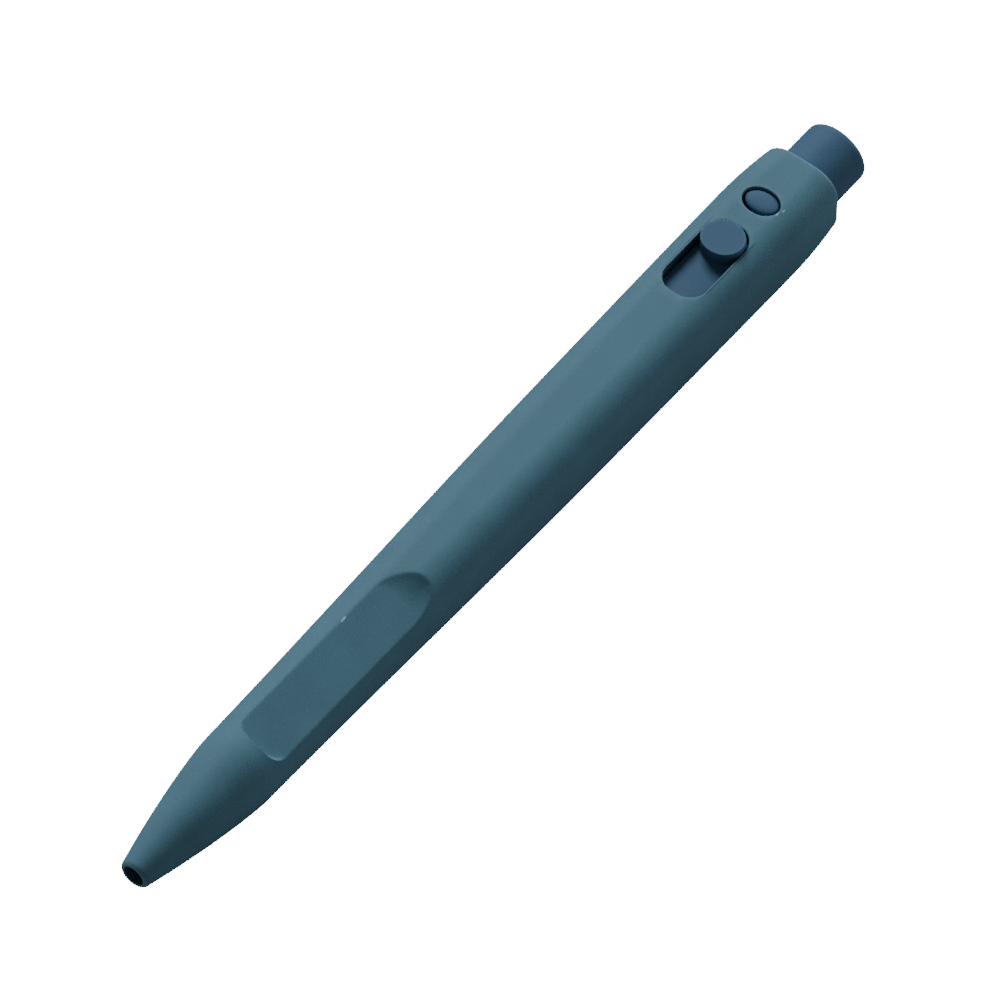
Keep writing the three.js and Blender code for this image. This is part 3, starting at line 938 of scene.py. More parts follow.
@dataclass(frozen=True)
class Finishes:
    """Every finish on the pen, as built materials."""

    barrel: bpy.types.Material
    mechanism: bpy.types.Material
    spring: bpy.types.Material
    tube: bpy.types.Material
    plug: bpy.types.Material
    brass: bpy.types.Material
    carbide: bpy.types.Material
    ink: bpy.types.Material

    @classmethod
    def build(cls) -> "Finishes":
        """Builds the shared groups and all materials.

        Returns:
            The finishes.
        """
        shelf = GroupShelf()
        grip_nick = Nick((-0.02885, 0.0014, 0.01184), 0.0007)
        window_nicks = (Nick((0.0554, -0.0029, 0.01236), 0.00045), Nick((0.0564, -0.0032, 0.0123), 0.0004))
        nicks = (grip_nick, *window_nicks)
        teal, worn_teal = (0.077, 0.184, 0.256, 1), (0.2, 0.36, 0.44, 1)
        blue, worn_blue = (0.051, 0.119, 0.208, 1), (0.15, 0.28, 0.38, 1)
        white, worn_white = linear(214, 217, 219), linear(240, 240, 240)
        steel, dull_steel = linear(200, 202, 205), linear(150, 152, 156)
        drawn, dull_drawn = linear(190, 193, 196), linear(160, 163, 166)
        brass, dull_brass = linear(205, 178, 112), linear(160, 128, 74)
        carbide, dull_carbide = linear(150, 152, 156), linear(120, 122, 126)
        return cls(
            barrel=MouldedPlastic("barrel_plastic", teal, worn_teal, nicks=nicks).build(shelf),
            mechanism=MouldedPlastic("mechanism_plastic", blue, worn_blue).build(shelf),
            spring=TurnedMetal("spring_steel", steel, dull_steel, 0.24, 3000.0).build(shelf),
            tube=TurnedMetal("refill_metal", drawn, dull_drawn, 0.34, 7000.0).build(shelf),
            plug=MouldedPlastic("refill_plastic", white, worn_white, 0.5, 0.4, 0.06).build(shelf),
            brass=TurnedMetal("tip_brass", brass, dull_brass, 0.27).build(shelf),
            carbide=TurnedMetal("ball_carbide", carbide, dull_carbide, 0.14).build(shelf),
            ink=PasteInk().build(shelf),
        )


def dress(piece: bpy.types.Object, material: bpy.types.Material) -> None:
    """Gives a piece its material.

    Args:
        piece: The piece.
        material: Its only material.
    """
    piece.data.materials.clear()
    piece.data.materials.append(material)


def report(piece: bpy.types.Object, note: str) -> None:
    """Reports one finished piece."""
    LOG.info("%s: %d faces, %s", piece.name, len(piece.data.polygons), note)


# Sizes shared by pieces


@dataclass(frozen=True)
class SharedSizes:
    """Sizes that mating pieces have in common, in millimetres.

    The first of them, without a value here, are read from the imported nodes.
    """

    barrel_length: float
    half_width: float
    half_height: float
    plunger_radius: float
    travel: float
    tongue_start: float
    tongue_end: float
    tongue_half_width: float
    tongue_underside: float
    release_top: float
    tip_front: float
    ball_radius: float
    refill_rear: float
    refill_radius: float
    neck_radius: float
    rear_bore: float = 4.9
    slot_front: float = 109.8
    slot_rear: float = 123.3
    slot_half_width: float = 3.2
    window_front: float = 126.2
    window_rear: float = 130.4
    window_half_width: float = 2.75
    root_gap: float = 0.05
    tongue_top: float = 4.5
    refill_wall: float = 0.3
    neck_bore: float = 1.05
    neck_end: float = 28.2
    shoulder_length: float = 1.5
    spring_seat: float = 8.6

    @classmethod
    def from_frame(cls) -> "SharedSizes":
        """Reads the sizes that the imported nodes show.

        Returns:
            The sizes.
        """
        barrel, plunger, tongue = pen_box("barrel")[1], pen_box("plunger")[1], pen_box("release_tongue")
        tube, plug, ball = pen_box("refill_tube")[1], pen_box("refill_end_plug")[1], pen_box("writing_ball")
        return cls(
            barrel_length=barrel[0],
            half_width=barrel[1],
            half_height=barrel[2],
            plunger_radius=plunger[1],
            travel=slide_length("plunger_press"),
            tongue_start=tongue[0][0],
            tongue_end=tongue[1][0],
            tongue_half_width=tongue[1][1],
            tongue_underside=tongue[0][2],
            release_top=tongue[1][2],
            tip_front=ball[0][0],
            ball_radius=ball[1][1],
            refill_rear=plug[0],
            refill_radius=tube[1],
            neck_radius=pen_box("refill_tip")[1][1],
        )

    @property
    def tongue_root(self) -> float:
        """Where the plunger ends and the tongue begins."""
        return self.tongue_start - self.root_gap


# Barrel


@dataclass
class Barrel:
    """The one-piece barrel: nose, grip flats, slot, window and bores.

    Lengths are in millimetres, and flat_turn is in degrees.
    """

    sizes: SharedSizes
    corner: float = 4.3
    grip_radius: float = 5.55
    nose_length: float = 20.74
    nose_bow: float = 1.415
    nose_tip: float = 1.85
    nose_round: float = 0.5
    full_height: float = 88.4
    full_width: float = 125.4
    widening: float = 1.196
    taper_length: float = 10.24
    taper_sides: float = 0.78
    taper_height: float = 0.42
    edge_round: float = 0.65
    flat_front: float = 22.5
    flat_length: float = 28.5
    flat_half_width: float = 4.0
    flat_corner: float = 3.2
    flat_front_level: float = 4.15
    flat_rear_level: float = 4.91
    flat_run_out: float = 8.0
    flat_turn: float = 21.0
    flat_softness: float = 0.1
    flat_view: float = 0.25
    flat_least_facing: float = 0.2
    flat_widest_turn: float = 1.3
    run_out_share: float = 0.95
    wall_slope: float = 5.0
    wall_softness: float = 0.1
    slot_corner: float = 2.6
    rim_round: float = 0.2
    window_round: float = 0.12
    step_bore: float = 4.1
    step_rear: float = 94.5
    refill_bore: float = 3.1
    refill_bore_rear: float = 83.5
    bore_lead: float = 1.5
    spring_bore: float = 2.75
    spring_bore_rear: float = 21.0
    spring_lead: float = 0.35
    tip_bore: float = 1.8
    nose_bore: float = 1.5
    nose_bore_rear: float = 3.4
    nose_lead: float = 0.3
    rear_break: float = 0.08
    channel_floor: float = 0.3
    channel_room: float = 0.2
    channel_front_room: float = 0.5
    channel_rear_room: float = 0.6
    tool_floor: float = 0.6
    tool_top: float = 8.0
    rim_reach: float = 0.26
    rim_inset: float = 0.25
    rim_level: float = 4.9
    # Painted shade: near-black colour painted inside the nose's bore and on the slot's side walls, where
    # shade falls.
    wall_shade_reach: float = 0.45
    bore_shade_lead: float = 0.12
    wall_shade: float = 0.9
    bore_shade_reach: float = 0.04
    bore_shade_past_bore: float = 0.2
    wall_shade_above_tongue: float = 0.1
    wall_shade_below_face: float = 0.18
    flare: float = 1.25
    points_around: int = 240
    corner_points: int = 15
    straight_step: float = 0.7
    window_points: int = 72

    def section(self, u: np.ndarray) -> tuple[np.ndarray, np.ndarray, np.ndarray]:
        """Works out the plain outside without the grip flats.

        Args:
            u: Stations.

        Returns:
            Half width, half height and corner radius at each station.
        """
        t = np.clip(u / self.nose_length, 0, 1)
        start = self.nose_tip + self.nose_round / 2
        cone = start + (self.grip_radius - start) * (1 - (1 - t) ** self.nose_bow)
        rim = np.clip(1 - u / self.nose_round, 0, 1)
        nose = cone - self.nose_round / 2 * rim**2
        square = np.clip((u - self.nose_length) / (self.full_height - self.nose_length), 0, 1)
        square = square * square * (3 - 2 * square)
        along = np.clip((u - self.nose_length) / (self.full_width - self.nose_length), 0, 1)
        spread = 1 - (1 - along) ** self.widening
        length = self.sizes.barrel_length
        taper = np.clip((u - length + self.taper_length) / self.taper_length, 0, 1) ** 2
        past = np.clip((u - length + self.edge_round) / self.edge_round, 0, 1)
        edge = self.edge_round * (1 - np.sqrt(1 - past * past))
        grip = self.grip_radius
        width = grip + (self.sizes.half_width - grip) * spread - self.taper_sides * taper - edge
        height = grip + (self.sizes.half_height - grip) * square - self.taper_height * taper - edge
        corner = grip + (self.corner - grip) * square - self.taper_height * taper - edge
        front = u < self.nose_length
        return np.where(front, nose, width), np.where(front, nose, height), np.where(front, nose, corner)

    def plain_reach(self, u: np.ndarray, angle: np.ndarray) -> np.ndarray:
        """Works out how far the outside is from the axis without the grip flats.

        Args:
            u: Stations.
            angle: Directions round the axis, from +Y towards +Z.

        Returns:
            The distances.
        """
        width, height, corner = self.section(u)
        across, up = np.abs(np.cos(angle)), np.abs(np.sin(angle))
        cy, cz = width - corner, height - corner
        along = across * cy + up * cz
        round_part = along + np.sqrt(np.maximum(along * along - cy * cy - cz * cz + corner * corner, 0))
        side = width / np.maximum(across, TINY)
        top = height / np.maximum(up, TINY)
        rest = np.where(up * cy >= across * height, top, round_part)
        return np.where(across * cz >= up * width, side, rest)

    def flat_reach(self, u: np.ndarray, angle: np.ndarray, side: int) -> np.ndarray:
        """Works out how far a grip flat and its end walls are from the axis.

        Args:
            u: Stations.
            angle: Directions round the axis, from +Y towards +Z.
            side: 1 for the flat above, -1 for the one below.

        Returns:
            The distances, far outside the barrel where the flat isn't.
        """
        middle = math.radians(90 + self.flat_turn) if side > 0 else math.radians(270 - self.flat_turn)
        off = np.angle(np.exp(1j * (angle - middle)))
        facing = np.maximum(np.cos(off), self.flat_least_facing)
        share = (u - self.flat_front) / self.flat_length
        level = self.flat_front_level + (self.flat_rear_level - self.flat_front_level) * share
        widest = self.flat_widest_turn
        across = np.abs(level * np.tan(np.clip(off, -widest, widest)))
        beside = across - self.flat_half_width + self.flat_corner
        beyond = self.flat_front + self.flat_corner - u
        outside = np.hypot(np.maximum(beside, 0), np.maximum(beyond, 0))
        gap = outside + np.minimum(np.maximum(beside, beyond), 0) - self.flat_corner
        wall = 0.5 * self.wall_slope * (gap + np.sqrt(gap * gap + self.wall_softness**2))
        inset = self.flat_corner - np.sqrt(np.maximum(self.flat_corner**2 - np.maximum(beside, 0) ** 2, 0))
        most = self.flat_run_out * self.run_out_share
        past = np.clip(u - self.flat_front - self.flat_length + inset, 0, most)
        rise = self.flat_run_out - np.sqrt(self.flat_run_out**2 - past * past)
        return np.where(np.cos(off) > self.flat_view, (level + np.maximum(wall, rise)) / facing, FAR_OUT)

    def reach(self, u: np.ndarray, angle: np.ndarray) -> np.ndarray:
        """Works out how far the outside with its grip flats is from the axis.

        Args:
            u: Stations.
            angle: Directions round the axis, from +Y towards +Z.

        Returns:
            The distances, with the flats' edges softened.
        """
        result = self.plain_reach(u, angle)
        for side in (1, -1):
            flat = self.flat_reach(u, angle, side)
            result = 0.5 * (result + flat - np.sqrt((result - flat) ** 2 + self.flat_softness**2))
        return result

    def surface_height(self, u: np.ndarray, y: np.ndarray) -> np.ndarray:
        """Works out the height of the upper face behind the grip.

        Args:
            u: Stations.
            y: Distances across the pen.

        Returns:
            The heights above the axis.
        """
        width, height, corner = self.section(u)
        past = np.maximum(np.abs(y) - (width - corner), 0)
        return height - corner + np.sqrt(np.maximum(corner * corner - past * past, 0))

    def stations(self) -> np.ndarray:
        """Chooses the stations of the outside, close together where the form changes fast.

        Returns:
            The stations from the nose to the rear.
        """
        length = self.sizes.barrel_length
        edge_start = length - self.edge_round
        flat_rear = self.flat_front + self.flat_length
        marks = [
            (self.nose_round, 43), (self.nose_length, 3), (self.flat_front - 1.1, 50),
            (self.flat_front + 3.9, 29), (flat_rear - 3.0, 64), (flat_rear + 5.0, 49),
            (length - self.taper_length, 13), (edge_start, 0),
        ]
        runs = [np.array([0, 0.04, 0.1, 0.18, 0.28, 0.4])]
        for (start, count), (end, _) in zip(marks, marks[1:]):
            runs.append(np.linspace(start, end, count + 1)[:-1])
        turns = np.radians([0, 12, 24, 36, 48, 60, 72, 82, 90])
        runs.append(edge_start + self.edge_round * np.sin(turns))
        return np.concatenate(runs)

    def bore_profile(self) -> list[tuple[float, float]]:
        """Lists the stepped bore.

        Returns:
            (u, radius) of its corners from the rear to the nose.
        """
        length, bore, seat = self.sizes.barrel_length, self.sizes.rear_bore, self.sizes.spring_seat
        rear = [(length, bore + self.rear_break), (length - self.rear_break, bore)]
        step = [(self.step_rear, bore), (self.step_rear - self.bore_lead, self.step_bore)]
        refill = [
            (self.refill_bore_rear, self.step_bore),
            (self.refill_bore_rear - self.bore_lead, self.refill_bore),
        ]
        spring = [
            (self.spring_bore_rear + self.spring_lead, self.refill_bore),
            (self.spring_bore_rear, self.spring_bore), (seat, self.spring_bore), (seat, self.tip_bore),
        ]
        nose = [
            (self.nose_bore_rear + self.nose_lead, self.tip_bore), (self.nose_bore_rear, self.nose_bore),
            (0.16, self.nose_bore), (0.04, self.nose_bore + 0.06), (0.0, self.nose_bore + 0.16),
        ]
        return [*rear, *step, *refill, *spring, *nose]

    def blank(self) -> bpy.types.Object:
        """Makes the barrel with its bores and grip flats, before the openings are cut.

        Returns:
            The closed shell.
        """
        angles = np.arange(self.points_around) * 2 * math.pi / self.points_around
        across, up, level = np.cos(angles), np.sin(angles), np.ones_like(angles)
        rings = []
        for u in self.stations():
            reach = self.reach(level * u, angles)
            rings.append(np.stack([level * u, reach * across, reach * up], 1))
        for u, radius in self.bore_profile():
            rings.append(np.stack([level * u, radius * across, radius * up], 1))
        return lofted("barrel_shell", rings, joined=True)

    def slot_outline(self) -> tuple[np.ndarray, np.ndarray]:
        """Draws the release button's slot.

        Returns:
            (u, y) points round it and their outward directions.
        """
        s, k = self.sizes, self.slot_corner
        centres = [
            (s.slot_rear - k, s.slot_half_width - k, 90), (s.slot_rear - k, k - s.slot_half_width, 0),
            (s.slot_front + k, k - s.slot_half_width, -90), (s.slot_front + k, s.slot_half_width - k, -180),
        ]
        points, outward = [], []
        for number, (u, y, first) in enumerate(centres):
            for angle in np.radians(np.linspace(first, first - 90, self.corner_points)):
                points.append((u + k * math.cos(angle), y + k * math.sin(angle)))
                outward.append((math.cos(angle), math.sin(angle)))
            after = centres[(number + 1) % 4]
            angle = math.radians(first - 90)
            a = np.array(points[-1])
            b = np.array([after[0] + k * math.cos(angle), after[1] + k * math.sin(angle)])
            count = max(2, int(np.linalg.norm(b - a) / self.straight_step))
            for step in range(1, count):
                points.append(tuple(a + (b - a) * step / count))
                outward.append((math.cos(angle), math.sin(angle)))
        return np.array(points), np.array(outward)

    def window_outline(self) -> tuple[np.ndarray, np.ndarray]:
        """Draws the catch's oval window.

        Returns:
            (u, y) points round it and their outward directions.
        """
        s = self.sizes
        a, b = (s.window_rear - s.window_front) / 2, s.window_half_width
        angles = -np.arange(self.window_points) * 2 * math.pi / self.window_points
        points = np.stack([s.window_front + a + a * np.cos(angles), b * np.sin(angles)], 1)
        outward = np.stack([np.cos(angles) / a, np.sin(angles) / b], 1)
        return points, outward / np.linalg.norm(outward, axis=1, keepdims=True)

    def opening_tool(
        self, name: str, points: np.ndarray, outward: np.ndarray, rounding: float
    ) -> bpy.types.Object:
        """Makes a tool that cuts an opening through the upper wall and rounds its rim.

        Args:
            name: The tool's name.
            points: The opening's outline as (u, y).
            outward: The outline's outward directions.
            rounding: Radius of the rim's rounding.

        Returns:
            The tool.
        """
        rings = [np.column_stack([points, np.full(len(points), self.tool_floor)])]
        for degrees in (0, 15, 30, 45, 60, 75, 88):
            turn = math.radians(degrees)
            place = points + outward * rounding * (1 - math.cos(turn))
            top = self.surface_height(place[:, 0], place[:, 1])
            rings.append(np.column_stack([place, top - rounding * (1 - math.sin(turn))]))
        flared = points + outward * rounding * self.flare
        top = self.surface_height(flared[:, 0], flared[:, 1])
        rings.append(np.column_stack([flared, top + 0.01]))
        rings.append(np.column_stack([flared, np.full(len(points), self.tool_top)]))
        return lofted(name, rings)

    def rim_share(self, places: np.ndarray) -> np.ndarray:
        """Works out how near each place is to a rim of the slot, window, rear end or nose.

        Args:
            places: (u, y, z) rows in millimetres.

        Returns:
            A share from 0 to 1 for each place.
        """
        nearest = np.full(len(places), FAR_OUT)
        upper = places[:, 2] > self.rim_level
        for outline in (self.slot_outline()[0], self.window_outline()[0]):
            for u, y in outline:
                gap = np.hypot(places[:, 0] - u, places[:, 1] - y)
                nearest = np.where(upper, np.minimum(nearest, gap), nearest)
        nose = np.abs(places[:, 0])
        rear = np.abs(places[:, 0] - self.sizes.barrel_length + self.rim_inset)
        nearest = np.minimum(nearest, np.minimum(nose, rear))
        return np.exp(-((nearest / self.rim_reach) ** 2))

    def painted_shade_share(self, places: np.ndarray) -> np.ndarray:
        """Works out how much painted shade each place gets: near-black shade painted inside the nose's bore
        and on the slot's side walls, where shade falls.

        Args:
            places: (u, y, z) rows in millimetres.

        Returns:
            A share from 0 to 1 for each place.
        """
        u, height = places[:, 0], places[:, 2]
        inside = np.hypot(places[:, 1], height) < self.nose_bore + self.bore_shade_reach
        in_nose = u < self.nose_bore_rear + self.bore_shade_past_bore
        # Painted shade inside the nose's bore, fading in over its first 0.12 mm from the tip.
        ink = np.where(inside & in_nose, np.clip(u / self.bore_shade_lead, 0, 1), 0.0)
        # Painted shade on the slot's side walls, between the tongue's top and the barrel's face.
        nearest = np.full(len(places), FAR_OUT)
        for along, across in self.slot_outline()[0]:
            nearest = np.minimum(nearest, np.hypot(u - along, places[:, 1] - across))
        above_tongue = height > self.sizes.tongue_top + self.wall_shade_above_tongue
        below_face = height < self.sizes.half_height - self.wall_shade_below_face
        shaded_wall = (nearest < self.wall_shade_reach) & above_tongue & below_face
        return np.maximum(ink, np.where(shaded_wall, self.wall_shade, 0.0))

    def build(self, finishes: Finishes) -> bpy.types.Object:
        """Builds the barrel and dresses it.

        Args:
            finishes: The pen's finishes.

        Returns:
            The barrel.
        """
        s = self.sizes
        piece = self.blank()
        front = s.tongue_root - s.travel - self.channel_front_room
        rear = s.tongue_end + self.channel_rear_room
        width, top = s.tongue_half_width + self.channel_room, s.tongue_top + self.channel_room
        channel = block("channel", (front, -width, self.channel_floor), (rear, width, top))
        slot = self.opening_tool("slot", *self.slot_outline(), self.rim_round)
        window = self.opening_tool("window", *self.window_outline(), self.window_round)
        for tool in (channel, slot, window):
            carve(piece, tool, Carving.CUT)
        shade(piece.data)
        places = pen_place(vertex_places(piece.data))
        set_number(piece.data, "rim", self.rim_share(places))
        # Painted shade for the bore and the slot's walls, read by the plastic's material.
        set_number(piece.data, "painted_shade", self.painted_shade_share(places))
        dress(piece, finishes.barrel)
        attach(piece, Body.BARREL.value)
        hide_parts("barrel")
        report(piece, "nose, grip flats, slot, window and bores in one")
        return piece


# Plunger and tongue


@dataclass
class Plunger:
    """The push button, its tube and the socket for the refill, with the release tongue."""

    sizes: SharedSizes
    socket_front: float = 91.2
    socket_radius: float = 3.9
    socket_bore: float = 3.0
    stop: float = 101.7
    stop_wall: float = 1.5
    stop_hole: float = 1.0
    shoulder: float = 102.2
    shoulder_lead: float = 0.6
    button_wall: float = 1.5
    button_round: float = 0.8
    room_below: float = 2.2
    tongue_end_gap: float = 0.6
    release_half_length: float = 2.82
    release_half_width: float = 3.1
    release_centre: float = 120.21
    release_round: float = 0.14
    release_foot: float = 0.28
    catch_front: float = 126.85
    catch_rear: float = 130.15
    catch_half_width: float = 2.45
    catch_top: float = 6.1
    catch_crown: float = 0.42
    stud_root: float = 0.6
    stud_points: int = 96
    stud_margin: float = 0.02
    tongue_edge: float = 0.1
    tongue_stations: int = 40
    bend_margin: float = 0.4
    opening_reach: float = 8.0
    body_segments: int = 144
    worn_reach: float = 0.5
    worn_share: float = 0.6
    worn_edge: float = 0.22
    worn_scale: float = 3.0

    def body_profile(self) -> list[tuple[float, float]]:
        """Draws the plunger from the wall inside the button round to its outer face.

        Returns:
            (u, radius) points.
        """
        radius, bore = self.sizes.plunger_radius, self.socket_bore
        return softened([
            (PEN_LENGTH - self.button_wall, 0, 0),
            (PEN_LENGTH - self.button_wall, bore, 0.3),
            (self.stop + self.stop_wall, bore, 0.1),
            (self.stop + self.stop_wall, self.stop_hole, 0.1),
            (self.stop, self.stop_hole, 0.1),
            (self.stop, bore, 0.1),
            (self.socket_front, bore, 0.15),
            (self.socket_front, self.socket_radius, 0.2),
            (self.shoulder - self.shoulder_lead, self.socket_radius, 0.15),
            (self.shoulder, radius, 0.2),
            (PEN_LENGTH, radius, self.button_round),
            (PEN_LENGTH, 0, 0),
        ])

    def build_body(self, finishes: Finishes) -> bpy.types.Object:
        """Builds the plunger and opens it for the tongue.

        Args:
            finishes: The pen's finishes.

        Returns:
            The plunger.
        """
        s = self.sizes
        piece = turned("plunger_body", self.body_profile(), self.body_segments)
        low, wide = s.tongue_underside - self.room_below, self.opening_reach
        rear = s.tongue_end + self.tongue_end_gap
        opening = block("opening", (s.tongue_root, -wide, low), (rear, wide, wide))
        carve(piece, opening, Carving.CUT)
        shade(piece.data)
        places = pen_place(vertex_places(piece.data))
        inward = s.plunger_radius - self.worn_reach - np.hypot(places[:, 1], places[:, 2])
        end = np.abs(places[:, 0] - PEN_LENGTH) + np.maximum(inward, 0)
        set_number(piece.data, "rim", np.exp(-((end / self.worn_reach) ** 2)) * self.worn_share)
        dress(piece, finishes.mechanism)
        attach(piece, Body.PLUNGER.value)
        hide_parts("plunger")
        report(piece, "push button, tube and refill socket")
        return piece

    def strip(self) -> bpy.types.Object:
        """Makes the tongue's flat strip, with softened long edges.

        Returns:
            The strip.
        """
        s = self.sizes
        w, low, high, soft = s.tongue_half_width, s.tongue_underside, s.tongue_top, self.tongue_edge
        section = []
        for y, z, first in ((w, high, 0), (-w, high, 90), (-w, low, 180), (w, low, 270)):
            cy, cz = y - math.copysign(soft, y), z + (-soft if z == high else soft)
            for angle in np.radians(np.linspace(first, first + 90, 5)):
                section.append((cy + soft * math.cos(angle), cz + soft * math.sin(angle)))
        rings = []
        for u in np.linspace(s.tongue_start, s.tongue_end, self.tongue_stations):
            rings.append(np.array([(u, y, z) for y, z in section]))
        return lofted("release_tongue_strip", rings)

    def stud(
        self, name: str, front: float, rear: float, half_width: float, profile: Sequence[Level]
    ) -> bpy.types.Object:
        """Makes an oval stud that stands on the tongue.

        Args:
            name: The stud's name.
            front: Its front station.
            rear: Its rear station.
            half_width: Its half width.
            profile: (share of the outline, inset from it, height) from its foot to its top.

        Returns:
            The stud, reaching a little into the strip.
        """
        half = (rear - front) / 2
        limit = self.sizes.tongue_half_width - self.stud_margin
        angles = np.arange(self.stud_points) * 2 * math.pi / self.stud_points
        rings = []
        for share, inset, z in profile:
            along = front + half + (half * share - inset) * np.cos(angles)
            across = np.clip((half_width * share - inset) * np.sin(angles), -limit, limit)
            rings.append(np.stack([along, across, np.full(self.stud_points, z)], 1))
        return lofted(name, rings)

    def release_button(self) -> bpy.types.Object:
        """Makes the release button, flat on top, with a foot fillet and a softened edge.

        Returns:
            The button, reaching into the strip.
        """
        top, low = self.sizes.release_top, self.sizes.tongue_top
        r, f = self.release_round, self.release_foot
        turns = np.radians([0, 22, 45, 68, 90])
        foot = [(1.0, -f * (1 - math.sin(a)), low + f * (1 - math.cos(a))) for a in turns]
        edge = [(1.0, r * (1 - math.cos(a)), top - r * (1 - math.sin(a))) for a in turns]
        base = [(1.0, 0.0, low - self.stud_root), (1.0, -f, low - self.stud_root / 2)]
        side = [(1.0, 0.0, low + 0.6), (1.0, 0.0, top - r * 1.3)]
        inner = [(1.0, r * 1.4, top), (0.86, 0.0, top), (0.5, 0.0, top), (0.1, 0.0, top)]
        front = self.release_centre - self.release_half_length
        rear = self.release_centre + self.release_half_length
        profile = [*base, *foot, *side, *edge, *inner]
        return self.stud("button", front, rear, self.release_half_width, profile)

    def catch(self) -> bpy.types.Object:
        """Makes the catch, whose crowned top stands nearly flush in the window.

        Returns:
            The catch, reaching into the strip.
        """
        top, low, crown = self.catch_top, self.sizes.tongue_top, self.catch_crown
        profile = [(1.0, 0.0, low - self.stud_root), (1.0, 0.0, low), (1.0, 0.0, top - crown)]
        for degrees in range(8, 89, 8):
            angle = math.radians(degrees)
            profile.append((math.cos(angle) ** 0.7, 0.0, top - crown * (1 - math.sin(angle))))
        return self.stud("catch", self.catch_front, self.catch_rear, self.catch_half_width, profile)

    def build_tongue(self, finishes: Finishes) -> bpy.types.Object:
        """Builds the tongue with its button and catch as one piece.

        Args:
            finishes: The pen's finishes.

        Returns:
            The tongue.
        """
        s = self.sizes
        piece = self.strip()
        carve(piece, self.release_button(), Carving.JOIN)
        carve(piece, self.catch(), Carving.JOIN)
        piece.name = "release_tongue_piece"
        shade(piece.data)
        places = pen_place(vertex_places(piece.data))
        along = (places[:, 0] - self.release_centre) / self.release_half_length
        ring = np.hypot(along, places[:, 1] / self.release_half_width)
        edge = np.abs(ring - 1) * self.worn_scale + np.abs(places[:, 2] - s.release_top)
        set_number(piece.data, "rim", np.exp(-((edge / self.worn_edge) ** 2)))
        dress(piece, finishes.mechanism)
        start = row_point(s.tongue_root, 0, s.tongue_underside)
        bend_end = self.release_centre - self.release_half_length - self.bend_margin
        end = row_point(bend_end, 0, s.tongue_underside)
        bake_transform(piece)
        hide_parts("release_tongue")
        report(piece, "strip, release button and catch in one")
        return piece


# Geometry node trees


@dataclass
class ShapeTree:
    """A Geometry Nodes tree with named inputs, and the way to run it."""

    name: str
    inputs: Sequence[tuple[str, str]]
    bench: NodeBench = field(init=False)
    sockets: dict[str, bpy.types.NodeTreeInterfaceSocket] = field(init=False)
    start: bpy.types.Node = field(init=False)

    def __post_init__(self) -> None:
        """Makes the empty tree and its sockets."""
        tree = bpy.data.node_groups.new(self.name, "GeometryNodeTree")
        tree.interface.new_socket("Geometry", in_out="INPUT", socket_type="NodeSocketGeometry")
        self.sockets = {}
        for label, kind in self.inputs:
            socket = tree.interface.new_socket(label, in_out="INPUT", socket_type=f"NodeSocket{kind}")
            self.sockets[label] = socket
        tree.interface.new_socket("Geometry", in_out="OUTPUT", socket_type="NodeSocketGeometry")
        self.bench = NodeBench(tree)
        self.start = self.bench.add("NodeGroupInput")

    def value(self, label: str) -> bpy.types.NodeSocket:
        """The named input inside the tree."""
        return self.start.outputs[label]

    def close(self, shape: bpy.types.NodeSocket) -> None:
        """Ends the tree with real geometry and its material.

        Args:
            shape: The finished geometry.
        """
        realize = self.bench.add("GeometryNodeRealizeInstances")
        self.bench.join(shape, realize.inputs[0])
        paint = self.bench.add("GeometryNodeSetMaterial")
        self.bench.join(realize.outputs[0], paint.inputs["Geometry"])
        self.bench.join(self.value("Material"), paint.inputs["Material"])
        self.bench.join(paint.outputs[0], self.bench.add("NodeGroupOutput").inputs[0])

    def run(self, name: str, source: bpy.types.Mesh, values: dict[str, object]) -> bpy.types.Object:
        """Runs the tree once and keeps the result as a plain mesh.

        Args:
            name: The result's name.
            source: The mesh that the tree starts from.
            values: A value for each named input.

        Returns:
            The result as a new object.
        """
        holder = bpy.data.objects.new(name + "_tree", source)
        bpy.context.scene.collection.objects.link(holder)
        maker = holder.modifiers.new(self.name, "NODES")
        maker.node_group = self.bench.tree
        for label, value in values.items():
            maker[self.sockets[label].identifier] = value
        graph = bpy.context.evaluated_depsgraph_get()
        mesh = bpy.data.meshes.new_from_object(holder.evaluated_get(graph))
        mesh.name = name
        holder.modifiers.clear()
        bpy.data.objects.remove(holder)
        tidy(mesh)
        drop_slivers(mesh)
        shade(mesh)
        piece = bpy.data.objects.new(name, mesh)
        bpy.context.scene.collection.objects.link(piece)
        return piece


COIL_STEPS = 420
WIRE_SIDES = 14
CLOSED_PITCH = 1.04


